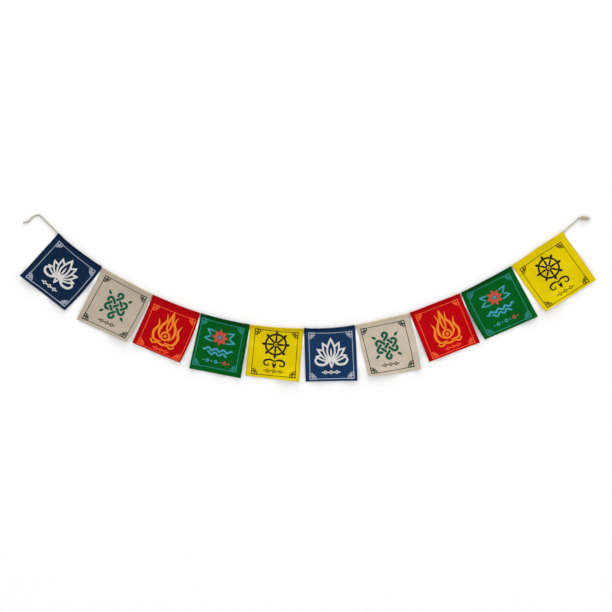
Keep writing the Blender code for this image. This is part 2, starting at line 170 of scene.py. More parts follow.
# One row per flag: the places that its casing runs between, its bottom corners as it lies, how far its
# sides bow in the middle, and how far each mouth of its casing is rounded off and how far it flares
Flag = namedtuple(
    "Flag",
    "name cloth start end bottom_left bottom_right left_bow right_bow bottom_bow"
    " left_round right_round left_flare right_flare",
)
FLAGS = [
    Flag("flag_01", "navy", "left mouth", "joint 1-2",
         (-0.4800, 0.0515), (-0.4055, -0.0060), 0.0, 0.0023, -0.0003, 0.0, 0.0032, 0.0, 0.0014),
    Flag("flag_02", "beige", "joint 1-2", "joint 2-3",
         (-0.3855, -0.0210), (-0.3025, -0.0585), 0.0, 0.0021, 0.0, 0.0, 0.0, 0.0, 0.0),
    Flag("flag_03", "red", "joint 2-3", "joint 3-4",
         (-0.2930, -0.0595), (-0.2140, -0.0930), -0.0005, 0.0026, 0.0005, 0.0, 0.0012, 0.0, 0.0),
    Flag("flag_04", "green", "joint 3-4", "joint 4-5",
         (-0.1980, -0.1025), (-0.1125, -0.1190), 0.0, 0.0, 0.0, 0.0, 0.0032, 0.0, 0.0007),
    Flag("flag_05", "yellow", "joint 4-5", "joint 5-6",
         (-0.1045, -0.1145), (-0.0155, -0.1250), 0.0, -0.0003, 0.0, 0.0, 0.0034, 0.0, 0.0),
    Flag("flag_06", "navy", "joint 5-6", "joint 6-7",
         (-0.0042, -0.1245), (0.0820, -0.1230), 0.0, 0.0005, 0.0, 0.0, 0.0030, 0.0009, 0.0),
    Flag("flag_07", "beige", "joint 6-7", "joint 7-8",
         (0.1005, -0.1158), (0.1878, -0.1035), 0.0, 0.0013, 0.0018, 0.0, 0.0, 0.0, 0.0),
    Flag("flag_08", "red", "joint 7-8", "joint 8-9",
         (0.2018, -0.0920), (0.2860, -0.0595), 0.0, 0.0, -0.0003, 0.0012, 0.0, 0.0, 0.0),
    Flag("flag_09", "green", "joint 8-9", "joint 9-10",
         (0.2945, -0.0545), (0.3825, -0.0162), 0.0027, 0.0, 0.0003, 0.0, 0.0, 0.0, 0.0),
    Flag("flag_10", "yellow", "joint 9-10", "right mouth",
         (0.3943, -0.0080), (0.4791, 0.0449), 0.0010, 0.0, 0.0005, 0.0, 0.0012, 0.0005, 0.0),
]

# One row per place where a flag rises off the table: the line that the rise follows, as fractions across
# the flag from its left and down it from its cord, how far it reaches to each side, and its height
Fold = namedtuple("Fold", "across_1 down_1 across_2 down_2 reach rise")
FOLDS = {
    "flag_01": [(0.00, 1.00, 0.22, 1.00, 0.026, 0.0042),
                (0.98, 0.30, 0.86, 0.62, 0.018, 0.0020),
                (0.80, 1.00, 1.00, 1.00, 0.018, 0.0028)],
    "flag_02": [(0.02, 0.30, 0.00, 0.85, 0.014, 0.0022),
                (0.78, 1.00, 1.00, 0.98, 0.024, 0.0038)],
    "flag_03": [(0.00, 0.72, 0.00, 1.00, 0.018, 0.0030),
                (0.42, 0.86, 0.50, 1.00, 0.014, 0.0018),
                (1.00, 0.45, 1.00, 1.00, 0.020, 0.0030)],
    "flag_04": [(0.00, 1.00, 0.10, 0.80, 0.020, 0.0034),
                (0.60, 1.00, 0.70, 0.90, 0.014, 0.0016),
                (1.00, 0.72, 1.00, 1.00, 0.018, 0.0030)],
    "flag_05": [(0.00, 0.40, 0.02, 0.70, 0.013, 0.0018),
                (0.70, 1.00, 1.00, 0.96, 0.022, 0.0036)],
    "flag_06": [(0.02, 0.28, 0.00, 0.75, 0.015, 0.0022),
                (0.88, 1.00, 1.00, 0.90, 0.018, 0.0030),
                (0.25, 1.00, 0.45, 1.00, 0.014, 0.0016)],
    "flag_07": [(0.05, 0.42, 0.24, 0.26, 0.016, 0.0020),
                (0.04, 1.00, 0.34, 1.00, 0.020, 0.0036),
                (0.98, 0.70, 1.00, 1.00, 0.020, 0.0034)],
    "flag_08": [(0.00, 0.40, 0.00, 0.80, 0.014, 0.0022),
                (0.97, 0.40, 1.00, 0.90, 0.016, 0.0026),
                (0.20, 1.00, 0.30, 0.92, 0.014, 0.0018)],
    "flag_09": [(0.00, 0.45, 0.00, 0.80, 0.018, 0.0030),
                (0.82, 1.00, 1.00, 1.00, 0.018, 0.0030)],
    "flag_10": [(0.04, 1.00, 0.26, 1.00, 0.024, 0.0040),
                (0.55, 1.00, 0.62, 0.88, 0.013, 0.0016),
                (1.00, 0.55, 1.00, 0.95, 0.017, 0.0030)],
}
# The cloth is held down near its cord: it begins to rise and rises fully at these distances from it
FOLDS_BEGIN = 0.020
FOLDS_FULL = 0.034

# How the print lies on each flag, in millimetres from its left side and from its cord: the outer corners of
# the border, clockwise from the top left, the middle of the motif and the middle of the small ornament
Print = namedtuple("Print", "top_left top_right bottom_right bottom_left motif ornament")
PRINTS = {
    "flag_01": Print((8.8, 6.0), (88.0, 9.4), (88.2, 87.0), (8.0, 87.2), (47.5, 38.5), (46.0, 75.0)),
    "flag_02": Print((9.6, 5.9), (88.0, 6.2), (89.2, 86.6), (6.6, 86.2), (48.0, 43.5), (47.5, 75.5)),
    "flag_03": Print((6.6, 10.8), (81.6, 10.8), (81.6, 84.2), (7.2, 84.0), (44.0, 40.5), (46.5, 78.0)),
    "flag_04": Print((3.4, 3.9), (75.8, 5.6), (74.9, 81.8), (2.8, 82.0), (39.0, 36.5), (39.5, 70.5)),
    "flag_05": Print((8.2, 2.6), (81.8, 4.8), (83.0, 79.2), (8.2, 80.7), (45.5, 36.0), (46.0, 71.5)),
    "flag_06": Print((6.7, 4.6), (80.2, 6.6), (80.8, 83.5), (6.5, 83.9), (43.5, 36.5), (42.5, 72.0)),
    "flag_07": Print((4.7, 5.7), (79.8, 7.4), (80.8, 85.6), (5.6, 87.6), (41.8, 43.0), (41.5, 75.0)),
    "flag_08": Print((6.6, 4.8), (83.0, 5.1), (82.8, 84.0), (7.0, 84.0), (45.0, 39.6), (46.5, 76.8)),
    "flag_09": Print((8.0, 3.7), (86.8, 6.4), (85.6, 85.9), (7.7, 86.0), (47.0, 38.0), (46.5, 74.0)),
    "flag_10": Print((7.0, 9.8), (89.8, 10.2), (91.4, 92.3), (6.7, 92.3), (48.5, 45.5), (49.0, 83.5)),
}
BORDER_LINE = 1.2  # millimetres
BORDER_INSET = 0.8  # from the corners to the line's middle, as a share of the line
BORDER_POINTS = 34
FRET_LINE = 1.8
FRET_REACH = 10.8  # how far a corner's fret reaches along the border
FRET_OVERLAP = 0.8  # of the border line on the fret
# The linked squares of a fret: the middle of each from the corner, and its size
FRET_SQUARES = ((3.3, 3.3, 4.8), (8.2, 2.8, 3.8), (2.8, 8.2, 3.8), (6.5, 6.5, 2.8))

JOIN_OVERLAP = 0.5  # of the endless band's bends on its straight runs, in millimetres
# The printed waves of the green flags, in millimetres
RIPPLE_RISE = 2.2
RIPPLE_LENGTH = 12.5
RIPPLE_POINTS = 17
RIPPLE_TIP = 0.6

# How finely the print's outlines and the cloth between them are divided, in millimetres
OUTLINE_STEP = 1.8
CASING_CELL = 1.3
BODY_CELL = 2.3
CASING_ROW = 0.62  # the height of a casing's cell, as a share of its width
CASING_BAND = 26.0  # of cloth from the hem's edge on, which has the finer cells
OUTLINE_CLEARANCE = 0.5  # a cell's corner nearer than this to an outline is left out
EDGE_CLEARANCE = 0.3  # how near an outline may come to the cloth's edges
SAME_PLACE = 1e-6
MERGE_REACH = 1e-4  # corners nearer to each other than this become one

# How the cloth of each flag is shaded: how light it is beside the colour of its dye, where the lower tones
# towards the left end are painted shade from the light falling off there, and how far its darker bands reach
# in from its top, left and right edges, in millimetres. At the top the cloth lies twice round the cord and
# its rim has painted shade; along the sides the cloth is simply drawn darker.
Shade = namedtuple("Shade", "tone top left right")
SHADES = {
    "flag_01": Shade(0.52, 2.4, 2.0, 1.5),
    "flag_02": Shade(0.89, 3.0, 0.8, 0.8),
    "flag_03": Shade(0.86, 2.6, 3.5, 3.0),
    "flag_04": Shade(0.92, 5.0, 1.5, 4.0),
    "flag_05": Shade(0.98, 4.5, 2.5, 2.0),
    "flag_06": Shade(1.00, 4.5, 2.0, 1.5),
    "flag_07": Shade(1.07, 4.0, 0.8, 0.8),
    "flag_08": Shade(1.00, 4.5, 4.0, 4.5),
    "flag_09": Shade(1.00, 4.5, 3.0, 1.5),
    "flag_10": Shade(1.00, 1.0, 1.0, 1.0),
}
EDGE_MARK = 0.7  # how dark the strips along the sides are, as a share of the darker band at the top
EDGE_MARK_FADE = 1.0  # millimetres
TOP_MARK_FADE = 2.5  # millimetres
TOP_MARK_WAVER = ((0.5, 9), (0.4, 4.1))  # how far its end wanders and over what length, in millimetres
CLOUD_STRENGTH = 0.05  # how much the faint clouds of uneven dye change the tone
CLOUD_ACROSS = 13  # their sizes in millimetres, for one radian
CLOUD_DOWN = 15
CLOUD_WANDER = (1.2, 17)  # how far they wander sideways, and over what length down the flag

# The cut edges turn up by themselves, unevenly along them
CURL_BOTTOM = 0.0014
CURL_SIDE = 0.0009
CURL_REACH = 0.0075
CURL_UNEVEN = 0.28  # the share of the curl that comes and goes
CURL_WAVE = 0.057  # the length over which it does

# The puckers along the seam
PUCKER_SLANT = 0.45
PUCKER_UNEVEN = 0.4  # the share of their height that comes and goes
PUCKER_GROUP = 0.047  # the length over which they grow and shrink together
PUCKERS_BELOW = 0.0075  # how far they reach from the seam down the flag, and up to the cord
PUCKERS_ABOVE = 0.0042
PUCKER_FLAT = 0.4  # how much of each ripple lies flat, with the height of the highest
PUCKER_PEAK = 1.6

# The waves of cloth that has hung and been laid down
WAVE_HEIGHT = 0.00022
WAVE_WANDER = 1.3
WAVES_BEGIN = 0.010
WAVES_FULL = 0.024

# A stitch: its length as a share of the distance to the next, and how far it strays from its place
STITCH_SHARE = 0.76
STITCH_SEED = 40  # of the random draws, plus the flag's number
STITCH_WANDER = 0.00012
STITCH_RADIUS = 0.00019
STITCH_SIDES = 6
STITCH_CUTS = (-0.3, 0.0, 0.3)  # across it, as shares of its length
STITCH_NARROWS = 0.45  # how much narrower it is at its ends
STITCH_DIP = 1.3  # how far its ends go into the cloth, in radii

THREAD_MAP = "threads"  # a UV map in metres of flat cloth, or of cord
DARKER_BAND_MARK = "layers"  # a vertex value: 1 on the darker band at the top, where the cloth lies twice and its rim has painted shade, less on the darker strips along the sides, and 0 elsewhere
TONE_MARK = "tone"  # a vertex value: how light the cloth is, with painted shade where the light falls off towards the left end and the faint clouds of uneven dye

# The colours of a cloth and of its inks, and the share of light that it sends back on its darker bands: where
# it lies twice round the cord with painted shade on its rim, and along its sides
Dye = namedtuple("Dye", "cloth motif accent border doubled")
DYES = {
    "navy": Dye("#173255", "#CDCBC6", "#CDCBC6", "#9AA0AC", (0.42, 0.44, 0.48)),
    "beige": Dye("#B8AB9A", "#03513A", "#03513A", "#2B382D", (0.93, 0.91, 0.84)),
    "red": Dye("#B2000A", "#E27F24", "#E27F24", "#DE5229", (0.74, 0.74, 0.74)),
    "green": Dye("#00551A", "#4092A6", "#B84A40", "#2A7B73", (0.48, 0.48, 0.48)),
    "yellow": Dye("#D4BC00", "#1E1608", "#1E1608", "#5C4C04", (0.76, 0.72, 0.60)),
}

# The darkest and lightest tones of uneven dye, of the cord's fibres and of the sewing thread
DYE_TONES = (0.94, 1.05)
FIBRE_TONES = (0.80, 1.18)
THREAD_TONES = (0.90, 1.30)
SLUB_SCALE = 330.0  # of the noise that gives the streaks of uneven yarn
SLUB_STRETCH = 0.14  # along the yarn
FIBRE_SCALES = (300, 24, 1)  # of the noise that gives the cord's fibres: along the cord, round it and through
CLOTH_CREASE = math.radians(60)  # a bend sharper than this is shaded as an edge
CORD_CREASE = math.radians(70)
COTTON_IOR = 1.46
PRINT_COVERAGE = 0.985  # how much of the cloth the ink hides on the front, and how much shows at the back
PRINT_THROUGH = 0.30
TONE_HIDDEN = 0.9  # how much of the cloth's tone the ink hides
WAVE_REPEAT = 0.31416  # a wave texture of scale 1 repeats at this distance


def linear(hex_colour):
    """The linear colour of an sRGB hex value."""
    parts = [int(hex_colour[i:i + 2], 16) / 255 for i in (1, 3, 5)]
    return tuple(c / 12.92 if c <= 0.04045 else ((c + 0.055) / 1.055) ** 2.4 for c in parts)


class FlagStringSizes(bpy.types.PropertyGroup):
    """The sizes of the cloth, the cord and the stitches."""

    cloth_thickness: FloatProperty(
        name="Cloth thickness", description="Thickness of the cotton", default=0.00035, unit="LENGTH")
    cord_diameter: FloatProperty(
        name="Cord diameter", description="Diameter of the twisted cord", default=0.0026, unit="LENGTH")
    casing_slack: FloatProperty(
        name="Casing slack", description="Room between the cord and the cloth turned round it",
        default=0.0003, unit="LENGTH")
    thread_spacing: FloatProperty(
        name="Thread spacing",
        description="Distance between the weave's threads", default=0.0007, unit="LENGTH")
    pucker_height: FloatProperty(
        name="Pucker height", description="Height of the small puckers along the seams",
        default=0.00045, unit="LENGTH")
    stitch_length: FloatProperty(
        name="Stitch length", description="Distance from one stitch of a seam to the next",
        default=0.0030, unit="LENGTH")


class FlagStringColours(bpy.types.PropertyGroup):
    """The colours of the five cloths and of the cord."""

    navy: FloatVectorProperty(
        name="Navy", description="Dyed navy cotton", default=linear(DYES["navy"].cloth), subtype="COLOR")
    beige: FloatVectorProperty(
        name="Beige", description="Unbleached cotton", default=linear(DYES["beige"].cloth), subtype="COLOR")
    red: FloatVectorProperty(
        name="Red", description="Dyed red cotton", default=linear(DYES["red"].cloth), subtype="COLOR")
    green: FloatVectorProperty(
        name="Green", description="Dyed green cotton", default=linear(DYES["green"].cloth), subtype="COLOR")
    yellow: FloatVectorProperty(
        name="Yellow",
        description="Dyed yellow cotton", default=linear(DYES["yellow"].cloth), subtype="COLOR")
    cord: FloatVectorProperty(
        name="Cord", description="Natural cotton cord", default=linear("#BDB7A2"), subtype="COLOR")


def add_node(tree, kind, inputs=(), **settings):
    """Adds a node with its settings; inputs pairs its sockets with values or with other nodes' outputs."""
    node = tree.nodes.new(kind)
    for name, value in settings.items():
        setattr(node, name, value)
    for name, value in dict(inputs).items():
        if isinstance(value, bpy.types.NodeSocket):
            tree.links.new(value, node.inputs[name])
        else:
            node.inputs[name].default_value = value
    return node


def mixed(tree, share, first, second, blend="MIX"):
    """The colour between two others at a share, or with blend MULTIPLY the first one times the second."""
    factor, colour_a, colour_b = 0, 6, 7  # the sockets of a mix node that are for colours
    node = add_node(
        tree, "ShaderNodeMix", {factor: share, colour_a: first, colour_b: second}, data_type="RGBA",
        blend_type=blend)
    return node.outputs[2]


def new_material(name):
    """A new material with its node tree and its shader."""
    material = bpy.data.materials.new(name)
    material.use_nodes = True
    tree = material.node_tree
    return material, tree, tree.nodes["Principled BSDF"]


def set_finish(shader, values):
    """Sets a shader's own sockets."""
    for name, value in values.items():
        shader.inputs[name].default_value = value


def scaled(colour, factor):
    """A lighter or darker colour, by a factor."""
    return tuple(min(c * factor, 1) for c in colour)


def toned(tree, share, colour, darkest, lightest):
    """A colour that varies between two factors of it."""
    return mixed(tree, share, (*scaled(colour, darkest), 1), (*scaled(colour, lightest), 1))


def weave_height(tree, spacing):
    """Plain weave: round threads that pass over and under each other in turn. The real cloth has about two
    and a half threads to the millimetre. They are drawn 0.7 mm apart, which is coarser, because finer ones
    would be lost in a picture of the whole string."""
    place = add_node(tree, "ShaderNodeUVMap", uv_map=THREAD_MAP).outputs["UV"]
    band = WAVE_REPEAT / spacing
    warp = add_node(tree, "ShaderNodeTexWave", {"Vector": place, "Scale": band}, bands_direction="X")
    weft = add_node(tree, "ShaderNodeTexWave", {"Vector": place, "Scale": band}, bands_direction="Y")
    over = add_node(tree, "ShaderNodeTexChecker", {"Vector": place, "Scale": 1 / spacing})
    height = add_node(
        tree, "ShaderNodeMix",
        {0: over.outputs["Fac"], 2: warp.outputs["Fac"], 3: weft.outputs["Fac"]}, data_type="FLOAT")
    return place, height.outputs[0]


def slubs(tree, place):
    """Thick and thin places in the threads, 3 mm wide and some 20 mm long, both ways of the cloth."""
    shades = []
    for stretch in ((1, SLUB_STRETCH, 1), (SLUB_STRETCH, 1, 1)):
        drawn = add_node(tree, "ShaderNodeMapping", {"Vector": place, "Scale": stretch})
        noise = add_node(
            tree, "ShaderNodeTexNoise",
            {"Vector": drawn.outputs["Vector"], "Scale": SLUB_SCALE, "Detail": 2.0, "Roughness": 0.6})
        shades.append(noise.outputs["Fac"])
    both = add_node(tree, "ShaderNodeMath", {0: shades[0], 1: shades[1]}, operation="ADD")
    return add_node(tree, "ShaderNodeMath", {0: both.outputs[0], 1: 0.5}, operation="MULTIPLY").outputs[0]


def cotton_cloth(name, colour, doubled, sizes, ink=None, coverage=0.0):
    """Plain-weave cotton, piece-dyed and matt: it scatters light evenly, with a faint fuzz at low angles,
    small bumps of its threads and streaks from uneven yarn. With an ink, the same cloth under a screen print
    that is thin enough for the weave to show, and coverage is how much of the cloth it hides."""
    material, tree, shader = new_material(name)
    place, weave = weave_height(tree, sizes.thread_spacing)
    streaks = slubs(tree, place)
    surface = colour if ink is None else tuple(c + (i - c) * coverage for i, c in zip(ink, colour))
    uneven = add_node(
        tree, "ShaderNodeMapRange", {"Value": streaks, "From Min": 0.32, "From Max": 0.68})
    mottled = toned(tree, uneven.outputs[0], surface, *DYE_TONES)
    # The tone: painted shade where the light falls off towards the left end, with the clouds of uneven dye
    tone = add_node(tree, "ShaderNodeAttribute", attribute_name=TONE_MARK).outputs["Color"]
    lit = mixed(tree, 1.0 - coverage * TONE_HIDDEN, mottled, tone, "MULTIPLY")
    # The darker bands: the cloth lying twice round the cord with painted shade on the casing's rim, and
    # darker strips along the sides
    banded = add_node(tree, "ShaderNodeAttribute", attribute_name=DARKER_BAND_MARK).outputs["Fac"]
    tree.links.new(mixed(tree, banded, lit, (*doubled, 1), "MULTIPLY"), shader.inputs["Base Color"])
    bump = add_node(tree, "ShaderNodeBump", {"Height": weave, "Strength": 0.60, "Distance": 0.00015})
    soft = add_node(
        tree, "ShaderNodeBump",
        {"Height": streaks, "Strength": 0.30, "Distance": 0.0006, "Normal": bump.outputs["Normal"]})
    tree.links.new(soft.outputs["Normal"], shader.inputs["Normal"])
    set_finish(shader, {
        "Roughness": 0.92 if ink is None else 0.78, "IOR": COTTON_IOR, "Specular IOR Level": 0.05,
        "Sheen Weight": 0.02, "Sheen Roughness": 0.5})
    return material


def twisted_cotton(name, colour):
    """Three-strand natural cotton cord, undyed: matt, with painted shade in the valleys between the strands
    and fine fibres that run along them."""
    material, tree, shader = new_material(name)
    place = add_node(tree, "ShaderNodeUVMap", uv_map=THREAD_MAP).outputs["UV"]
    round_it = add_node(
        tree, "ShaderNodeTexWave",
        {"Vector": place, "Scale": WAVE_REPEAT * STRANDS, "Phase Offset": math.pi / 2}, bands_direction="Y")
    fibres_place = add_node(tree, "ShaderNodeMapping", {"Vector": place, "Scale": FIBRE_SCALES})
    fibres = add_node(
        tree, "ShaderNodeTexNoise", {"Vector": fibres_place.outputs["Vector"], "Scale": 1.0, "Detail": 3.0})
    lit = toned(tree, fibres.outputs["Fac"], colour, *FIBRE_TONES)
    # Painted shade in the valleys between the strands
    valley_shade = add_node(
        tree, "ShaderNodeMapRange",
        {"Value": round_it.outputs["Fac"], "From Min": 0.0, "From Max": 0.45, "To Min": 0.66, "To Max": 1.0})
    tree.links.new(mixed(tree, 1.0, lit, valley_shade.outputs[0], "MULTIPLY"), shader.inputs["Base Color"])
    bump = add_node(
        tree, "ShaderNodeBump", {"Height": fibres.outputs["Fac"], "Strength": 0.5, "Distance": 0.0001})
    tree.links.new(bump.outputs["Normal"], shader.inputs["Normal"])
    set_finish(shader, {"Roughness": 0.9, "IOR": COTTON_IOR, "Specular IOR Level": 0.2, "Sheen Weight": 0.15})
    return material


def smooth_step(value, low, high):
    """0 up to low and 1 from high on, with a smooth way between."""
    share = np.clip((value - low) / (high - low), 0, 1)
    return share * share * (3 - 2 * share)


def unit(vectors):
    """One direction, or one for each row, with the length 1."""
    return vectors / np.linalg.norm(vectors, axis=-1, keepdims=True)


def distances_along(line):
    """How far each point of a line is from its first one, along the line."""
    return np.concatenate([[0], np.cumsum(np.linalg.norm(np.diff(line, axis=0), axis=1))])


def line_length(line):
    """The length of a line of points."""
    return float(distances_along(line)[-1])


class Route:
    """A smooth curve through the listed points, read by the distance along it."""

    STEPS = 24  # straight bits from one route point to the next

    def __init__(self, sizes):
        placed = np.array([point for points in CORD_ROUTE.values() for point in points]) - BOX_MIDDLE
        ends = [2 * placed[0] - placed[1], *placed, 2 * placed[-1] - placed[-2]]
        fine = [placed[0]]
        for before, start, end, after in zip(ends, ends[1:], ends[2:], ends[3:]):
            reach = np.linalg.norm(end - start)
            leave = self.pull(before, start, end) * reach
            arrive = self.pull(start, end, after) * reach
            for t in np.arange(1, self.STEPS + 1) / self.STEPS:
                fine.append(
                    (2 * t**3 - 3 * t**2 + 1) * start
                    + (t**3 - 2 * t**2 + t) * leave
                    + (3 * t**2 - 2 * t**3) * end
                    + (t**3 - t**2) * arrive
                )
        self.fine = np.array(fine)
        self.along = distances_along(self.fine)
        self.stations, passed = {}, 0
        for place, points in CORD_ROUTE.items():
            self.stations[place] = self.along[passed * self.STEPS]
            passed += len(points)
        radius = sizes.cord_diameter / 2
        self.in_casing = RESTING_GAP + sizes.cloth_thickness + sizes.casing_slack + radius
        self.on_table = ON_TABLE_GAP + radius

    @staticmethod
    def pull(before, here, after):
        """The curve's direction at a point, from the points on its two sides."""
        near = np.linalg.norm(here - before)
        far = np.linalg.norm(after - here)
        return unit((here - before) / near * far + (after - here) / far * near)

    def points(self, stations):
        """Where distances along the route lie, seen from above."""
        return np.stack([np.interp(stations, self.along, self.fine[:, i]) for i in range(2)], -1)

    def line(self, start, end, step):
        """The cord's middle from one station to another, in the casings between the mouths and on the table
        past them."""
        stations = np.linspace(start, end, round(abs(end - start) / step) + 1)
        outside = np.maximum(self.stations["left mouth"] - stations, stations - self.stations["right mouth"])
        landed = smooth_step(outside, 0, CORD_LANDING)
        heights = self.in_casing + (self.on_table - self.in_casing) * landed
        return np.column_stack([self.points(stations), heights])


class Casing:
    """The cloth's inner face seen from the casing's end: from the hem, round the cord, to the table."""

    def __init__(self, sizes, route):
        radius = route.in_casing - RESTING_GAP - sizes.cloth_thickness
        hem_top = RESTING_GAP + sizes.cloth_thickness
        section = [(HEM_END, hem_top), (HEM_END / 2, hem_top)]
        for step in range(CASING_STEPS + 1):
            angle = -math.pi / 2 - CASING_TURN * step / CASING_STEPS
            section.append((radius * math.cos(angle), route.in_casing + radius * math.sin(angle)))
        on_hem = hem_top + LAYER_GAP
        section += [(SEAM_START, on_hem), (SEAM_LINE, on_hem), (SEAM_END, on_hem)]
        section += [((SEAM_END + TABLE_START) / 2, on_hem * SLOPE_SAG), (TABLE_START, 0)]
        section = np.array(section)
        self.distance, self.height = section.T
        self.along = distances_along(section)
        self.length = self.along[-1]
        self.fold_line = radius + sizes.cloth_thickness
        self.front = int(np.argmin(self.distance))

    def along_at(self, distance):
        """How far the front layer at a distance from the cord is from the hem's edge, along the cloth."""
        return np.interp(distance, self.distance[self.front:], self.along[self.front:])


class Cloth:
    """Where each point of a flag lies, by its place across the flag and along its cloth from the hem."""

    JUST_DOWN = 0.02  # the share of the flag's depth that gives its direction at the cord
    PUCKERS = ((0.0061, 1.0), (0.0092, 0.8), (0.0147, 0.7))  # lengths of the ripples and their shares
    WAVES = ((0.031, 0.021), (0.019, 0.043), (0.052, 0.027))  # lengths across and down the flag

    def __init__(self, flag, route, casing, sizes):
        self.flag = flag
        self.route = route
        self.casing = casing
        self.sizes = sizes
        self.start = route.stations[flag.start] + JOINT_GAPS.get(flag.start, 0) / 2
        self.end = route.stations[flag.end] - JOINT_GAPS.get(flag.end, 0) / 2
        self.width = self.end - self.start
        self.bottom_left = np.array(flag.bottom_left) - BOX_MIDDLE
        self.bottom_right = np.array(flag.bottom_right) - BOX_MIDDLE
        self.top_left, self.top_right = route.points([self.start, self.end])
        self.folds = [Fold(*row) for row in FOLDS[flag.name]]
        self.shade = SHADES[flag.name]
        self.middle_depth = float(self.depth(np.array([0.5]))[0])
        self.length = casing.length + self.middle_depth - TABLE_START
        self.phases = np.random.default_rng(int(flag.name[-2:])).uniform(0, 2 * math.pi, 12)

    @staticmethod
    def bowed(start, end, share, bow):
        """Points on the side from start to end, bowed to the right of that way."""
        way = unit(end - start)
        outward = np.array([way[1], -way[0]])
        return start + (end - start) * share[:, None] + outward * (bow * 4 * share * (1 - share))[:, None]

    def on_table_plan(self, across, down):
        """The patch between the cord's line and the other three edges, at fractions across and down it."""
        flag = self.flag
        a, d = across[:, None], down[:, None]
        top = self.route.points(self.start + self.width * across)
        bottom = self.bowed(self.bottom_left, self.bottom_right, across, flag.bottom_bow)
        left = self.bowed(self.top_left, self.bottom_left, down, flag.left_bow)
        right = self.bowed(self.top_right, self.bottom_right, down, -flag.right_bow)
        corners = (
            (1 - a) * ((1 - d) * self.top_left + d * self.bottom_left)
            + a * ((1 - d) * self.top_right + d * self.bottom_right)
        )
        return (1 - d) * top + d * bottom + (1 - a) * left + a * right - corners

    def depth(self, across):
        """How deep the flag is there, from its cord to its bottom edge."""
        ones = np.ones_like(across)
        return np.linalg.norm(self.on_table_plan(across, ones) - self.on_table_plan(across, 0 * ones), axis=1)

    def rounded(self, across, distance):
        """The place across the flag, drawn in where a mouth of the casing is rounded at the top edge."""
        drawn = []
        for size in (self.flag.left_round, self.flag.right_round):
            short = np.clip(size - (distance + self.casing.fold_line), 0, size)
            drawn.append(size - np.sqrt(size**2 - short**2))
        return (drawn[0] + across * (self.width - drawn[0] - drawn[1])) / self.width

    def flare(self, across):
        """How much further the casing reaches beyond its cord there than in its middle."""
        left = 1 - smooth_step(across * self.width, 0, FLARE_LENGTH)
        right = 1 - smooth_step((1 - across) * self.width, 0, FLARE_LENGTH)
        return self.flag.left_flare * left + self.flag.right_flare * right

    def rise(self, across, distance, depth):
        """How far the folds lift the cloth off the table there."""
        here = np.column_stack([across * self.width, distance])
        height = np.zeros(len(across))
        for fold in self.folds:
            start = np.column_stack([np.full(len(across), fold.across_1 * self.width), fold.down_1 * depth])
            end = np.column_stack([np.full(len(across), fold.across_2 * self.width), fold.down_2 * depth])
            way = end - start
            share = np.clip(np.sum((here - start) * way, 1) / np.sum(way * way, 1), 0, 1)
            away = np.linalg.norm(here - start - way * share[:, None], axis=1) / fold.reach
            height += fold.rise * np.clip(1 - away**2, 0, None) ** 2
        return (height + self.curl(across, distance, depth)) * smooth_step(distance, FOLDS_BEGIN, FOLDS_FULL)

    def curl(self, across, distance, depth):
        """How far the cut edges turn up by themselves, unevenly along them."""
        height = np.zeros(len(across))
        for away, along, lift, phase in (
            (depth - distance, across * self.width, CURL_BOTTOM, self.phases[9]),
            (across * self.width, distance, CURL_SIDE, self.phases[10]),
            ((1 - across) * self.width, distance, CURL_SIDE, self.phases[11]),
        ):
            uneven = 1 - CURL_UNEVEN + CURL_UNEVEN * np.sin(2 * math.pi * along / CURL_WAVE + phase)
            height = np.maximum(height, lift * uneven * np.exp(-((away / CURL_REACH) ** 2)))
        return height

    def puckers(self, across, distance):
        """Small slanting ripples that start at the seam and die out below it and towards the cord."""
        from_seam = distance - SEAM_LINE
        slanted = across * self.width + PUCKER_SLANT * from_seam
        ripple = np.zeros(len(across))
        for (length, share), phase in zip(self.PUCKERS, self.phases):
            ripple += share * np.sin(2 * math.pi * slanted / length + phase)
        grouped = np.sin(2 * math.pi * slanted / PUCKER_GROUP + self.phases[4])
        uneven = 1 - PUCKER_UNEVEN + PUCKER_UNEVEN * grouped
        fade = np.exp(-((from_seam / np.where(from_seam > 0, PUCKERS_BELOW, PUCKERS_ABOVE)) ** 2))
        return self.sizes.pucker_height * fade * uneven * np.clip(ripple + PUCKER_FLAT, 0, None) / PUCKER_PEAK

    def waves(self, across, distance):
        """The slight unevenness of cloth that has hung and been laid down, never below the table."""
        height = np.zeros(len(across))
        for (length_x, length_y), phase, turn in zip(self.WAVES, self.phases[5:], self.phases[8:]):
            wander = WAVE_WANDER * np.sin(2 * math.pi * distance / length_y + turn)
            height += (1 + np.sin(2 * math.pi * across * self.width / length_x + phase + wander)) / 2
        return WAVE_HEIGHT * height * smooth_step(distance, WAVES_BEGIN, WAVES_FULL)

    def place(self, s, t):
        """s runs across the flag and t along its cloth from the hem's edge, both in metres."""
        across = s / self.width
        distance = np.interp(t, self.casing.along, self.casing.distance)
        height = np.interp(t, self.casing.along, self.casing.height)
        depth = self.depth(across)
        body = t > self.casing.length
        stretch = (depth - TABLE_START) / (self.middle_depth - TABLE_START)
        distance = np.where(body, TABLE_START + (t - self.casing.length) * stretch, distance)
        height = np.where(body, 0, height)
        front = t > self.casing.along[self.casing.front]
        across = self.rounded(across, distance)
        depth = self.depth(across)
        plan = self.on_table_plan(across, np.clip(distance, 0, None) / depth)
        just_down = self.on_table_plan(across, np.full(len(across), self.JUST_DOWN))
        down = unit(just_down - self.on_table_plan(across, np.zeros(len(across))))
        reach = np.minimum(distance, 0) * (1 + self.flare(across) / self.casing.fold_line)
        plan = plan + down * reach[:, None]
        height = height + self.rise(across, distance, depth)
        height = height + np.where(front, self.puckers(across, distance) + self.waves(across, distance), 0)
        return np.column_stack([plan, height])

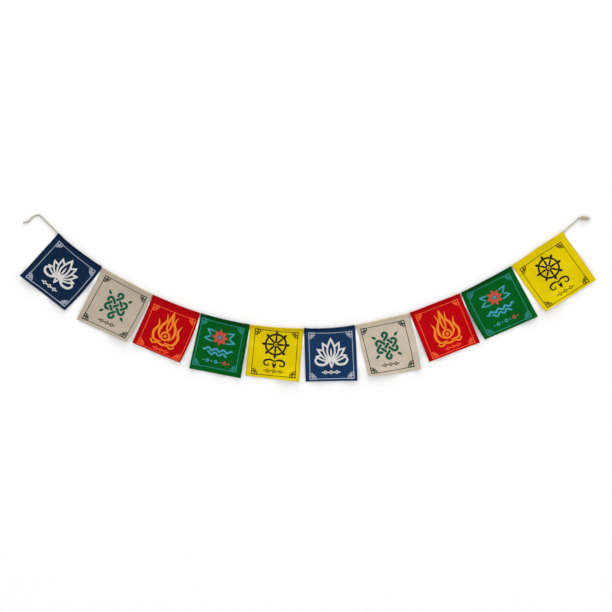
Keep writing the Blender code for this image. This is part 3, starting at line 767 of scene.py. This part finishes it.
    def layers(self, s, t):
        """1 on the darker band along the top, where the cloth lies twice round the cord and its rim has
        painted shade, and on the darker strips along the sides, down to 0.
        """
        x, y = s * MM, t * MM
        top = self.casing.along[self.casing.front] * MM
        reach = self.shade.top
        for (share, length), phase in zip(TOP_MARK_WAVER, self.phases):
            reach = reach + share * np.sin(x / length + phase)
        mark = 1 - smooth_step(y - top, reach, reach + TOP_MARK_FADE)
        for from_edge, side in ((x, self.shade.left), (self.width * MM - x, self.shade.right)):
            fading = smooth_step(from_edge, side * 0.5, side + EDGE_MARK_FADE)
            mark = np.maximum(mark, EDGE_MARK * (1 - fading))
        return np.clip(mark, 0, 1)

    def tone(self, s, t):
        """How light the cloth is: its flag's tone, with painted shade where the light falls off towards the
        left end, and the faint clouds of uneven dye.
        """
        x, y = s * MM, t * MM
        wander = CLOUD_WANDER[0] * np.sin(y / CLOUD_WANDER[1])
        clouds = np.sin(x / CLOUD_ACROSS + self.phases[2] + wander) * np.sin(y / CLOUD_DOWN + self.phases[3])
        return self.shade.tone * (1 + CLOUD_STRENGTH * clouds)


Shape = namedtuple("Shape", "ink outline")


def curve_through(points, count_for):
    """Points along a smooth curve through the given ones, and how many there are on the way from one to the
    next by the difference between them. A row may hold more than a place, such as a width."""
    rows = np.array(points, float)
    ends = np.vstack([2 * rows[0] - rows[1], rows, 2 * rows[-1] - rows[-2]])
    drawn = []
    for a, b, c, d in zip(ends, ends[1:], ends[2:], ends[3:]):
        count = count_for(c - b)
        for t in np.arange(count) / count:
            squared, cubed = 2 * a - 5 * b + 4 * c - d, 3 * b - a - 3 * c + d
            drawn.append(0.5 * (2 * b + (c - a) * t + squared * t**2 + cubed * t**3))
    drawn.append(rows[-1])
    return np.array(drawn)


def outline_count(difference):
    """How many points an outline has over a difference of place."""
    return max(2, math.ceil(np.linalg.norm(difference[:2]) / OUTLINE_STEP))


def brush(ink, rows, smooth=True):
    """A brush stroke along rows of (x, y, width)."""
    rows = curve_through(rows, outline_count) if smooth else np.array(rows, float)
    way = unit(np.gradient(rows[:, :2], axis=0))
    side = np.column_stack([way[:, 1], -way[:, 0]]) * rows[:, 2:] / 2
    return Shape(ink, np.vstack([rows[:, :2] + side, (rows[:, :2] - side)[::-1]]))


def disc(ink, x, y, radius):
    """A round spot."""
    turn = np.linspace(0, 2 * math.pi, max(12, round(2 * math.pi * radius / OUTLINE_STEP)), endpoint=False)
    return Shape(ink, np.column_stack([x + radius * np.cos(turn), y + radius * np.sin(turn)]))


def petal(ink, x, y, turn, length, width):
    """A pointed petal from its foot at x, y; turn is in degrees clockwise from straight up."""
    share = (1 - np.cos(np.linspace(0, math.pi, max(8, round(length / OUTLINE_STEP) + 3)))) / 2
    blunt, fullest = 0.6, 0.347  # how round its foot is, and the most that the curve with it comes to
    half = width / 2 * share**blunt * (1 - share) / fullest
    a = math.radians(turn)
    up, side = np.array([math.sin(a), -math.cos(a)]), np.array([math.cos(a), math.sin(a)])
    middle = np.array([x, y]) + up * (share * length)[:, None]
    return Shape(ink, np.vstack([middle + side * half[:, None], (middle - side * half[:, None])[-2:0:-1]]))


def outlined_petal(x, y, turn, length, width, line=2.2, ink="motif"):
    """A petal as a line round bare cloth."""
    a = math.radians(turn)
    foot = (x + math.sin(a) * line * 1.2, y - math.cos(a) * line * 1.2)
    return [petal(ink, x, y, turn, length, width),
            petal("cloth", *foot, turn, length - line * 3.4, width - line * 1.9)]


def petal_ring(ink, y, radius, length, width):
    """Eight petals round a point of the middle line, with their feet at a radius from it."""
    shapes = []
    for turn in range(0, 360, 45):
        a = math.radians(turn)
        shapes.append(petal(ink, radius * math.sin(a), y - radius * math.cos(a), turn, length, width))
    return shapes


def lozenge(ink, x, y, width, height):
    """A square on its corner, drawn out to a width and a height."""
    across, down = width / 2, height / 2
    return Shape(ink, np.array([(x - across, y), (x, y - down), (x + across, y), (x, y + down)]))


def mirrored(shapes):
    """Shapes on the other side of the middle."""
    return [Shape(s.ink, s.outline * (-1, 1)) for s in shapes]


def both_sides(shapes):
    """Shapes and their mirror images."""
    return [*shapes, *mirrored(shapes)]


def lotus():
    """Navy flags: an open lotus on two curling tendrils."""
    shapes = []
    tendril = brush("motif", [
        (-2, 16, 1.8), (-11, 22.5, 3.6), (-22, 22, 3.8), (-26.5, 15, 3.2), (-21, 11, 2.2), (-18, 15, 0.8)])
    shapes += both_sides([tendril])
    for turn, length, width in ((80, 27.5, 11.5), (54, 30, 13), (27, 32, 14)):
        pair = outlined_petal(0, 13.5, turn, length, width, line=2.8)
        shapes += both_sides(pair)
    shapes += [*outlined_petal(0, 13.5, 0, 36, 15.5, line=3.0), petal("motif", 0, 9.5, 0, 15, 3.0)]
    shapes += both_sides([petal("motif", 0, 14, 118, 13, 5.5)])
    shapes += [petal("motif", 0, 15, 180, 14, 7), disc("cloth", 0, 20, 1.4)]
    return shapes


def endless_band():
    """Beige flags: one band that runs over and under itself in a square lattice, closed at its corners."""
    apart = 8.8  # from one run of the band to the next
    band, clear = 4.5, 6.8
    reach = 1.45 * apart
    patch = 0.42 * apart  # how far a run is drawn again to each side of a crossing, to lie on top there
    cos = math.cos(math.pi / 4)

    def strokes(rows, swapped=False, widths=(("motif", band),)):
        if swapped:
            rows = [(y, x) for x, y in rows]
        turned = [(cos * (x - y), cos * (x + y)) for x, y in rows]
        return [brush(ink, [(x, y, width) for x, y in turned]) for ink, width in widths]

    def arc(x, y, radius, first, last):
        turns = [math.radians(turn) for turn in np.linspace(first, last, round(abs(last - first) / 30) + 1)]
        return [(x + radius * math.cos(turn), y + radius * math.sin(turn)) for turn in turns]

    def loop(x, way):
        """Joins two neighbouring runs past their ends."""
        half, inner = apart / 2, (reach - JOIN_OVERLAP) * way
        return [(x - half, inner), *arc(x, reach * way, half, 180 * way, 0), (x + half, inner)]

    def corner(way):
        """Joins the outermost runs round the lattice's corner."""
        inner = reach - JOIN_OVERLAP
        rows = [(apart, inner), *arc(reach, reach, reach - apart, 180, -90), (inner, apart)]
        return [(x * way, y * way) for x, y in rows]

    over = (("cloth", clear), ("motif", band))
    shapes = []
    for offset in (-apart, 0, apart):
        shapes += strokes([(offset, -reach), (offset, 0), (offset, reach)])
    for offset in (-apart, 0, apart):
        shapes += strokes([(-reach, offset), (0, offset), (reach, offset)], widths=over)
    for column in (-1, 0, 1):
        for row in (-1, 0, 1):
            if (column + row) % 2 == 0:
                x, y = column * apart, row * apart
                shapes += strokes([(x, y - patch), (x, y), (x, y + patch)], widths=over)
    for swapped in (False, True):
        shapes += strokes(loop(-apart / 2, 1), swapped) + strokes(loop(apart / 2, -1), swapped)
    shapes += strokes(corner(-1)) + strokes(corner(1))
    leaves = [petal("motif", 15.5, 14.0, 130, 9, 4.6), petal("motif", 15.5, -14.0, 50, 9, 4.6)]
    return [*shapes, *both_sides(leaves)]


def flaming_jewel():
    """Red flags: a round jewel on a low base, with flames that rise round it."""
    flames = [
        brush("motif", [(-3, 25, 1.4), (-16, 24, 3.4), (-20.5, 12, 4.2), (-16.5, 0, 3.4), (-20, -11, 0.5)]),
        brush("motif", [(-7, 20, 1.0), (-12.5, 10, 3.8), (-11, -2, 4.2), (-6.5, -11, 3.2), (-9.5, -23, 0.5)]),
    ]
    base = brush("motif", [
        (0, 29.5, 3.4), (-8, 28, 2.6), (-15, 30.5, 2.8), (-20, 27, 2.0), (-17.5, 24.5, 0.8)])
    return [
        *both_sides(flames),
        *both_sides([base]),
        petal("motif", 0, 6, 0, 36, 9.5),
        petal("cloth", 0, 2.5, 0, 19, 3.6),
        disc("motif", 0, 14, 8.2),
        disc("cloth", 0, 14, 5.2),
        disc("motif", 0, 14, 2.6),
    ]


def blossom_on_water():
    """Green flags: a coral blossom between four blue leaves, over two lines of blue waves."""
    shapes = []
    for turn in (62, 98):
        shapes += both_sides(outlined_petal(0, -5, turn, 27, 11.5, line=2.3))
    heart = -7
    shapes += petal_ring("cloth", heart, 1.5, 15, 8.6) + petal_ring("accent", heart, 3, 10.5, 5.8)
    shapes += [disc("cloth", 0, heart, 4.0), disc("motif", 0, heart, 2.7)]
    for y, reach, width in ((14.5, 25, 3.2), (21, 17, 2.8)):
        rows = np.array([
            (x, y + RIPPLE_RISE * math.sin(x * 2 * math.pi / RIPPLE_LENGTH), width)
            for x in np.linspace(-reach, reach, RIPPLE_POINTS)])
        rows[[0, -1], 2] = RIPPLE_TIP
        shapes.append(brush("motif", rows))
    return shapes


def wheel_on_cloud():
    """Yellow flags: a wheel of eight spokes above a pair of cloud scrolls."""
    y = -9
    shapes = petal_ring("motif", y, 17, 7, 4.6)
    shapes += [disc("motif", 0, y, 18.5), disc("cloth", 0, y, 15.2)]
    shapes += petal_ring("motif", y, 3.5, 14.5, 3.6)
    shapes += [disc("motif", 0, y, 5.4), disc("cloth", 0, y, 3.0), disc("motif", 0, y, 1.5)]
    scroll = brush("motif", [
        (0, 19, 1.8), (-8, 16.5, 3.2), (-16.5, 19.5, 3.2), (-15.5, 26, 2.6), (-9.5, 26, 2.0),
        (-10.5, 22, 0.8)])
    return [*shapes, *both_sides([scroll]), petal("motif", 0, 19.5, 180, 12, 6.5), disc("cloth", 0, 22, 1.5)]


def small_ornament(artwork):
    """The row of lozenges and dots under the motif."""
    left, middle, right = artwork.ornament_inks
    shapes = []
    for place, ink in ((-1, left), (0, middle), (1, right)):
        x = place * artwork.ornament_spread
        shapes += [lozenge(ink, x, 0, 8.0, 7.0), lozenge("cloth", x, 0, 3.6, 3.0)]
    for place, ink in ((-1.5, left), (-0.5, middle), (0.5, middle), (1.5, right)):
        shapes.append(disc(ink, place * artwork.ornament_spread, 0, 1.2))
    return shapes


# The motif of each cloth, and the inks and the spread of the small ornament under it
Artwork = namedtuple("Artwork", "motif ornament_inks ornament_spread")
ARTWORK = {
    "navy": Artwork(lotus, ("motif", "motif", "motif"), 9.4),
    "beige": Artwork(endless_band, ("border", "border", "border"), 9.4),
    "red": Artwork(flaming_jewel, ("border", "border", "border"), 8.4),
    "green": Artwork(blossom_on_water, ("motif", "motif", "accent"), 14.0),
    "yellow": Artwork(wheel_on_cloud, ("border", "border", "border"), 10.6),
}


def corner_fret():
    """Four small linked squares in a corner, each drawn as a line of equal width."""
    shapes = []
    for x, y, size in FRET_SQUARES:
        for ink, reach in (("border", (size + FRET_LINE) / 2), ("cloth", (size - FRET_LINE) / 2)):
            shapes.append(Shape(ink, np.array([(x - reach, y - reach), (x + reach, y - reach),
                                               (x + reach, y + reach), (x - reach, y + reach)])))
    return shapes


def border(place):
    """The printed line round the flag, with a fret in each corner."""
    corners = [np.array(c) for c in (place.top_left, place.top_right, place.bottom_right, place.bottom_left)]
    shapes = []
    for i, corner in enumerate(corners):
        following, before = corners[(i + 1) % 4], corners[i - 1]
        way, back = unit(following - corner), unit(before - corner)
        inset = back * (BORDER_LINE * BORDER_INSET)
        start = corner + way * (FRET_REACH - FRET_OVERLAP) + inset
        end = following - way * (FRET_REACH - FRET_OVERLAP) + inset
        shares = np.linspace(0, 1, BORDER_POINTS)
        rows = [(*(start + (end - start) * share), BORDER_LINE) for share in shares]
        shapes.append(brush("border", rows, smooth=False))
        axes = np.array((way, back) if i % 2 == 0 else (back, way))
        shapes += [Shape(s.ink, corner + s.outline @ axes) for s in corner_fret()]
    return shapes


def flag_print(cloth_colour, place):
    """All that is printed on a flag, in millimetres from its left side and from its cord."""
    artwork = ARTWORK[cloth_colour]
    shapes = border(place)
    for drawn, middle in ((artwork.motif(), place.motif), (small_ornament(artwork), place.ornament)):
        shapes += [Shape(s.ink, s.outline + middle) for s in drawn]
    return shapes


def divided(outline):
    """The outline with no side longer than the outline step."""
    rows = []
    for here, following in zip(outline, np.roll(outline, -1, axis=0)):
        count = max(1, math.ceil(np.linalg.norm(following - here) / OUTLINE_STEP))
        for share in np.arange(count) / count:
            rows.append(here + (following - here) * share)
    return np.array(rows)


def inside(outline, points):
    """Which points lie in an outline, by how often it goes round them."""
    wound = np.zeros(len(points), int)
    x, y = points.T
    for (x1, y1), (x2, y2) in zip(outline, np.roll(outline, -1, axis=0)):
        side = (x2 - x1) * (y - y1) - (x - x1) * (y2 - y1)
        wound += ((y1 <= y) & (y2 > y) & (side > 0)).astype(int)
        wound -= ((y1 > y) & (y2 <= y) & (side < 0)).astype(int)
    return wound != 0


INKS = ("cloth", "motif", "accent", "border")


def grid_points(width, length):
    """The corners of the cells of flat cloth, and which of them are on its edges."""
    rows = np.unique(np.concatenate([
        np.arange(0, CASING_BAND, CASING_CELL * CASING_ROW),
        np.linspace(CASING_BAND, length, round((length - CASING_BAND) / BODY_CELL)),
    ]))
    points = []
    for row in rows:
        count = round(width / (CASING_CELL if row < CASING_BAND else BODY_CELL))
        points += [(x, row) for x in np.linspace(0, width, count + 1)]
    points = np.array(points)
    edge = np.any((points < SAME_PLACE) | (points > np.array((width, length)) - SAME_PLACE), axis=1)
    return points, edge


def printed_cells(cloth, shapes):
    """The flat cloth divided into triangles along the print's outlines, and the ink on each triangle."""
    width, length = cloth.width * MM, cloth.length * MM
    points, edge = grid_points(width, length)
    outlines = []
    for shape in shapes:
        across, down = divided(shape.outline).T
        along = np.where(
            down > TABLE_START * MM, cloth.casing.length * MM + down - TABLE_START * MM,
            cloth.casing.along_at(down / MM) * MM)
        outlines.append(np.column_stack([
            np.clip(across, EDGE_CLEARANCE, width - EDGE_CLEARANCE),
            np.clip(along, EDGE_CLEARANCE, length - EDGE_CLEARANCE)]))
    drawn = np.vstack(outlines)
    near = np.array([np.min(np.sum((drawn - p) ** 2, 1)) < OUTLINE_CLEARANCE**2 for p in points])
    sides, corners = [], [tuple(p) for p in points[edge | ~near]]
    for flat in outlines:
        first = len(corners)
        corners += [tuple(p) for p in flat]
        sides += [(first + i, first + (i + 1) % len(flat)) for i in range(len(flat))]
    places, _, triangles, *_ = delaunay_2d_cdt(corners, sides, [], 0, MERGE_REACH)
    places = np.array([tuple(p) for p in places])
    triangles = np.array([t for t in triangles if len(t) == 3])
    middles = places[triangles].mean(axis=1)
    ink_of = np.zeros(len(triangles), int)
    for flat, shape in zip(outlines, shapes):
        ink_of[inside(flat, middles)] = INKS.index(shape.ink)
    return places / MM, triangles, ink_of


def new_piece(name, mesh, materials):
    """A piece of the object that moves with its one body."""
    for material in materials:
        mesh.materials.append(material)
    piece = bpy.data.objects.new(name, mesh)
    bpy.context.scene.collection.objects.link(piece)
    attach(piece, "root")
    return piece


def pick_only(piece):
    """Makes a piece the only selected one."""
    bpy.ops.object.select_all(action="DESELECT")
    bpy.context.view_layer.objects.active = piece
    piece.select_set(True)


def add_flag_cloth(cloth, materials, sizes):
    """One flag: its flat cloth with the print on it, laid on its folds and round its cord."""
    flat, triangles, ink_of = printed_cells(cloth, flag_print(cloth.flag.cloth, PRINTS[cloth.flag.name]))
    placed = cloth.place(*flat.T)
    mesh = bpy.data.meshes.new(f"cloth_{cloth.flag.name[-2:]}")
    mesh.from_pydata(placed.tolist(), [], triangles[:, ::-1].tolist())
    mesh.polygons.foreach_set("material_index", ink_of)
    threads = mesh.uv_layers.new(name=THREAD_MAP)
    corner_of = np.zeros(len(mesh.loops), int)
    mesh.loops.foreach_get("vertex_index", corner_of)
    threads.data.foreach_set("uv", flat[corner_of].astype(np.float32).ravel())
    for name, values in ((DARKER_BAND_MARK, cloth.layers(*flat.T)), (TONE_MARK, cloth.tone(*flat.T))):
        mesh.attributes.new(name, "FLOAT", "POINT").data.foreach_set("value", values.astype(np.float32))
    piece = new_piece(mesh.name, mesh, materials)
    wall = piece.modifiers.new("thickness", "SOLIDIFY")
    wall.thickness = sizes.cloth_thickness
    wall.offset = 1
    wall.use_even_offset = False
    wall.material_offset = len(INKS)
    pick_only(piece)
    bpy.ops.object.modifier_apply(modifier=wall.name)
    bpy.ops.object.shade_smooth_by_angle(angle=CLOTH_CREASE)
    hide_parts(cloth.flag.name)
    return piece


def strand_section(diameter):
    """The outline of three round strands laid together: directions and distances from the cord's middle."""
    strand = diameter / 2 / (1 + 2 / math.sqrt(3))
    off = 2 * strand / math.sqrt(3)
    turns = np.arange(CORD_RING_POINTS) * 2 * math.pi / CORD_RING_POINTS
    local = (turns + math.pi / STRANDS) % (2 * math.pi / STRANDS) - math.pi / STRANDS
    reach = off * np.cos(local) + np.sqrt(np.clip(strand**2 - (off * np.sin(local)) ** 2, 0, None))
    return turns, np.maximum(reach, diameter * CORD_VALLEY)


def carried_frames(line):
    """Across and up directions along a line, turned no more than the line itself turns."""
    way = unit(np.gradient(line, axis=0))
    side = np.cross(way[0], (0, 0, 1))
    sides = []
    for step in way:
        side = unit(side - step * np.dot(side, step))
        sides.append(side)
    sides = np.array(sides)
    return way, sides, np.cross(sides, way)


def add_twisted_cord(name, line, diameter, material, turned=0.0, ends=(1.0, 1.0), tight=((0,), (1,))):
    """A tube of three twisted strands along a line of points. turned is how far the twist has gone at its
    start, ends are the sizes of its end rings and tight those at distances along it, beside the cord's."""
    way, sides, ups = carried_frames(line)
    along = distances_along(line)
    turns, reach = strand_section(diameter)
    size = np.interp(along, *tight)
    size[[0, -1]] *= ends
    places = []
    for i, middle in enumerate(line):
        twist = turns + 2 * math.pi * (turned + along[i] / STRAND_TURN_LENGTH)
        ring = np.outer(np.cos(twist) * reach, sides[i]) + np.outer(np.sin(twist) * reach, ups[i])
        places += (middle + ring * size[i]).tolist()
    count = CORD_RING_POINTS
    faces, corners = [], []
    for i in range(len(line) - 1):
        for j in range(count):
            k = (j + 1) % count
            faces.append((i * count + j, i * count + k, (i + 1) * count + k, (i + 1) * count + j))
            corners += [(along[i], j / count), (along[i], (j + 1) / count),
                        (along[i + 1], (j + 1) / count), (along[i + 1], j / count)]
    for i, order, end in ((0, -1, ends[0]), (len(line) - 1, 1, ends[1])):
        places.append((line[i] + way[i] * diameter * (1 - end) * CORD_TIP * order).tolist())
        for j in range(count):
            face = (i * count + j, i * count + (j + 1) % count, len(places) - 1)
            uv = [(along[i], j / count), (along[i], (j + 1) / count), (along[i], (j + 0.5) / count)]
            faces.append(face[::order])
            corners += uv[::order]
    mesh = bpy.data.meshes.new(name)
    mesh.from_pydata(places, [], faces)
    threads = mesh.uv_layers.new(name=THREAD_MAP)
    threads.data.foreach_set("uv", np.array(corners, np.float32).ravel())
    piece = new_piece(name, mesh, [material])
    pick_only(piece)
    bpy.ops.object.mode_set(mode="EDIT")
    bpy.ops.mesh.select_all(action="SELECT")
    bpy.ops.mesh.normals_make_consistent(inside=False)
    bpy.ops.object.mode_set(mode="OBJECT")
    bpy.ops.object.shade_smooth_by_angle(angle=CORD_CREASE)
    return piece


def knot_line(start, way):
    """The cord's middle through the knot, from the end of the free run and in its direction: in along the
    knot's middle, back round itself and out again through its own turns."""
    x, y, z = (*(np.array(KNOT_MIDDLE) - BOX_MIDDLE), KNOT_HEIGHT)
    left, right = x - KNOT_WRAPS_LENGTH / 2, x + KNOT_WRAPS_LENGTH / 2
    run_starts = left + np.array(KNOT_RUN_STARTS)
    rows = [start, start + way * KNOT_LEAD]
    rows += [(left + along, y + across, z + up) for along, across, up in KNOT_WAY_IN]
    rows += [(px, y + KNOT_RUNS_APART, z) for px in np.linspace(run_starts[0], right, KNOT_RUN_POINTS)]
    rows.append((right + KNOT_BEND[0], y + KNOT_RUNS_APART * KNOT_BEND[1], z))
    steps = round(KNOT_TURNS * KNOT_STEPS_PER_TURN)
    for share in np.arange(steps + 1) / steps:
        turn = 2 * math.pi * KNOT_TURNS * share
        full = 1 - KNOT_NARROW + KNOT_NARROW * math.sin(math.pi * share**KNOT_FULLEST)
        rows.append((right - KNOT_WRAPS_LENGTH * share - KNOT_SLANT * full * math.cos(turn),
                     y + KNOT_HALF_WIDTH * full * math.cos(turn),
                     z + KNOT_HALF_HEIGHT * math.sin(turn)))
    rows += [(left + along, y + across, z + up) for along, across, up in KNOT_LOOP]
    rows += [(px, y - KNOT_RUNS_APART, z) for px in np.linspace(run_starts[1], right, KNOT_RUN_POINTS)]
    tail = np.array(KNOT_TAIL_END) - BOX_MIDDLE
    past, across, up = KNOT_WAY_OUT
    rows += [(right + past, tail[1] + across, z + up), (*tail, start[2])]
    return curve_through(rows, lambda difference: max(1, round(np.linalg.norm(difference) / KNOT_STEP)))


def stitch_mesh(length):
    """One stitch: a short thread that dips into the cloth at both ends, along X."""
    bpy.ops.object.select_all(action="DESELECT")
    bpy.ops.mesh.primitive_cylinder_add(
        vertices=STITCH_SIDES, radius=STITCH_RADIUS, depth=length, rotation=(0, math.pi / 2, 0))
    stitch = bpy.context.active_object
    bpy.ops.object.transform_apply(location=True, rotation=True, scale=True)
    bpy.ops.object.mode_set(mode="EDIT")
    for cut in STITCH_CUTS:
        bpy.ops.mesh.select_all(action="SELECT")
        bpy.ops.mesh.bisect(plane_co=(cut * length, 0, 0), plane_no=(1, 0, 0))
    bpy.ops.object.mode_set(mode="OBJECT")
    for vertex in stitch.data.vertices:
        share = abs(vertex.co.x) / (length / 2)
        narrow = 1 - STITCH_NARROWS * share**3
        vertex.co.y *= narrow
        vertex.co.z = vertex.co.z * narrow - STITCH_RADIUS * STITCH_DIP * share**2
    mesh = stitch.data.copy()
    bpy.data.objects.remove(stitch, do_unlink=True)
    return mesh


def add_stitching(cloth, material, sizes):
    """A seam's stitches on the front of a flag and on the hem behind it."""
    length = sizes.stitch_length * STITCH_SHARE
    one = stitch_mesh(length)
    seam = bmesh.new()
    count = int(cloth.width / sizes.stitch_length)
    chance = np.random.default_rng(STITCH_SEED + int(cloth.flag.name[-2:]))
    on_front = cloth.casing.along_at(SEAM_LINE)
    on_hem = np.interp(-SEAM_LINE, -cloth.casing.distance[:2], cloth.casing.along[:2])
    for face, first, along in ((1, 0.5, on_front), (-1, 1.0, on_hem)):
        middles = (np.arange(count) + first) * cloth.width / (count + 0.5)
        middles = middles + chance.uniform(-STITCH_WANDER, STITCH_WANDER, count)
        row = along + chance.uniform(-STITCH_WANDER, STITCH_WANDER, count)
        here = cloth.place(middles, row)
        ahead = cloth.place(middles + length / 2, row) - cloth.place(middles - length / 2, row)
        for middle, way in zip(here, ahead):
            way = unit(way)
            side = unit(np.cross((0, 0, 1), way))
            up = np.cross(way, side)
            turned = Matrix([(*way, 0), (*side * face, 0), (*up * face, 0), (0, 0, 0, 1)]).transposed()
            turned.translation = (middle + np.array((0, 0, sizes.cloth_thickness * face))).tolist()
            copy = one.copy()
            copy.transform(turned)
            seam.from_mesh(copy)
            bpy.data.meshes.remove(copy)
    mesh = bpy.data.meshes.new(f"stitches_{cloth.flag.name[-2:]}")
    seam.to_mesh(mesh)
    seam.free()
    mesh.shade_smooth()
    piece = new_piece(mesh.name, mesh, [material])
    return piece


def sewing_thread(name, colour):
    """Spun polyester sewing thread: smoother than the cloth and a little shiny, in nearly its colour."""
    material, tree, shader = new_material(name)
    place = add_node(tree, "ShaderNodeTexCoord").outputs["Object"]
    fibres = add_node(tree, "ShaderNodeTexNoise", {"Vector": place, "Scale": 4000.0, "Detail": 1.0})
    tree.links.new(toned(tree, fibres.outputs["Fac"], colour, *THREAD_TONES), shader.inputs["Base Color"])
    set_finish(shader, {"Roughness": 0.55, "IOR": 1.5})
    return material


class FLAGSTRING_OT_add_stage(bpy.types.Operator):
    """Adds the pale table, the soft studio light and the camera that looks straight down."""

    bl_idname = "flag_string.add_stage"
    bl_label = "Add stage"

    def execute(self, context):
        bpy.ops.object.select_all(action="DESELECT")
        bpy.ops.mesh.primitive_plane_add(size=FLOOR_SIZE)
        floor = context.active_object
        floor.name = "floor"
        material, _, shader = new_material("matt_white_card")
        set_finish(shader, {
            "Base Color": (*[FLOOR_TONE] * 3, 1), "Roughness": 0.9, "Specular IOR Level": 0.2})
        floor.data.materials.append(material)

        world = bpy.data.worlds.new("light_tent")
        context.scene.world = world
        world.use_nodes = True
        tree = world.node_tree
        way = add_node(tree, "ShaderNodeTexCoord").outputs["Generated"]
        up = add_node(tree, "ShaderNodeSeparateXYZ", {"Vector": way}).outputs["Z"]
        walls_to_top = add_node(
            tree, "ShaderNodeMapRange",
            {"Value": up, "From Min": 0.0, "From Max": 1.0, "To Min": TENT_WALLS, "To Max": TENT_TOP})
        tree.links.new(walls_to_top.outputs[0], tree.nodes["Background"].inputs["Strength"])
        tree.nodes["Background"].inputs["Color"].default_value = (1, 1, 1, 1)

        bpy.ops.object.light_add(type="AREA", location=SOFTBOX_PLACE)
        softbox = context.active_object
        softbox.name = "softbox"
        softbox.data.size = SOFTBOX_SIZE
        softbox.data.energy = SOFTBOX_POWER
        softbox.rotation_euler = (-Vector(SOFTBOX_PLACE)).to_track_quat("-Z", "Y").to_euler()

        distance = VIEW_WIDTH * CAMERA_LENS / CAMERA_SENSOR
        bpy.ops.object.camera_add(location=(*VIEW_MIDDLE, distance), rotation=(0, 0, 0))
        camera = context.active_object
        camera.name = "camera"
        camera.data.lens = CAMERA_LENS
        camera.data.sensor_width = CAMERA_SENSOR
        context.scene.camera = camera
        context.scene.view_settings.view_transform = "Standard"
        return {"FINISHED"}


class FLAGSTRING_OT_add_cord(bpy.types.Operator):
    """Adds the twisted cord: the run held by the casings, its two free ends and the knot."""

    bl_idname = "flag_string.add_cord"
    bl_label = "Add cord"

    def execute(self, context):
        sizes = context.scene.flag_string_sizes
        colours = context.scene.flag_string_colours
        route = Route(sizes)
        cotton = twisted_cotton("twisted_natural_cotton", tuple(colours.cord))
        # The left end is the same cord in a darker colour: painted shade where the light falls off towards
        # the left
        left_end_shaded = twisted_cotton("handled_natural_cotton", scaled(colours.cord, LEFT_END_SHADE))
        held_start = route.stations["left mouth"] + PARTING_DEPTH
        held_end = route.stations["right mouth"] - PARTING_DEPTH
        diameter = sizes.cord_diameter

        left_line = route.line(held_start - PARTING_GAP, 0, CORD_RING_STEP)
        left = add_twisted_cord("left_cord_end", left_line, diameter, left_end_shaded, ends=(HIDDEN_END, CUT_END))
        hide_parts("cord_left_end")

        held_line = route.line(held_start, held_end, CORD_RING_STEP)
        held = add_twisted_cord("held_cord", held_line, diameter, cotton)
        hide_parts("cord_main")

        right_line = route.line(held_end + PARTING_GAP, route.stations["knot"], CORD_RING_STEP)
        right = add_twisted_cord("right_cord_end", right_line, diameter, cotton)
        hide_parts("cord_right_end")

        way = unit(right_line[-1] - right_line[-2])
        tied_line = knot_line(right_line[-1] + way * KNOT_JOINT, way)
        knot = add_twisted_cord(
            "end_knot", tied_line, diameter, cotton, turned=line_length(right_line) / STRAND_TURN_LENGTH,
            ends=(1.0, CUT_END), tight=((0, KNOT_TIGHTENS), (1, KNOT_TIGHT)))
        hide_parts("cord_end_knot")

        return {"FINISHED"}


class FLAGSTRING_OT_add_flags(bpy.types.Operator):
    """Adds the ten printed flags with the stitches of their casings."""

    bl_idname = "flag_string.add_flags"
    bl_label = "Add flags"

    def execute(self, context):
        sizes = context.scene.flag_string_sizes
        colours = context.scene.flag_string_colours
        route = Route(sizes)
        casing = Casing(sizes, route)
        materials, threads = {}, {}
        for name, shades in DYES.items():
            colour = tuple(getattr(colours, name))
            inks = {ink: linear(getattr(shades, ink)) for ink in INKS[1:]}
            plain = cotton_cloth(f"plain_weave_{name}_cotton", colour, shades.doubled, sizes)
            materials[name] = []
            for side, coverage in (("on", PRINT_COVERAGE), ("through", PRINT_THROUGH)):
                materials[name].append(plain)
                for ink, shown in inks.items():
                    materials[name].append(cotton_cloth(
                        f"{ink}_print_{side}_{name}_cotton", colour, shades.doubled, sizes, shown, coverage))
            threads[name] = sewing_thread(f"{name}_sewing_thread", colour)
        for flag in FLAGS:
            cloth = Cloth(flag, route, casing, sizes)
            piece = add_flag_cloth(cloth, materials[flag.cloth], sizes)
            stitches = add_stitching(cloth, threads[flag.cloth], sizes)
        return {"FINISHED"}


class FLAGSTRING_PT_panel(bpy.types.Panel):
    """Lists the steps and the sizes of the string of flags."""

    bl_label = "Prayer flag string"
    bl_idname = "FLAGSTRING_PT_panel"
    bl_space_type = "VIEW_3D"
    bl_region_type = "UI"
    bl_category = "Flags"

    def draw(self, context):
        for owner in (context.scene.flag_string_sizes, context.scene.flag_string_colours):
            column = self.layout.column()
            for name in owner.__annotations__:
                column.prop(owner, name)
        for step in STEPS:
            self.layout.operator(step.bl_idname)


STEPS = (FLAGSTRING_OT_add_stage, FLAGSTRING_OT_add_cord, FLAGSTRING_OT_add_flags)
CLASSES = (FlagStringSizes, FlagStringColours, *STEPS, FLAGSTRING_PT_panel)


def register():
    """Makes the classes and their values known to Blender."""
    for cls in CLASSES:
        bpy.utils.register_class(cls)
    bpy.types.Scene.flag_string_sizes = PointerProperty(type=FlagStringSizes)
    bpy.types.Scene.flag_string_colours = PointerProperty(type=FlagStringColours)


def unregister():
    """Takes them out again."""
    del bpy.types.Scene.flag_string_colours
    del bpy.types.Scene.flag_string_sizes
    for cls in reversed(CLASSES):
        bpy.utils.unregister_class(cls)


def main():
    """Makes all pieces in order."""
    register()
    bpy.ops.flag_string.add_stage()
    bpy.ops.flag_string.add_cord()
    bpy.ops.flag_string.add_flags()


if __name__ == "__main__":
    main()
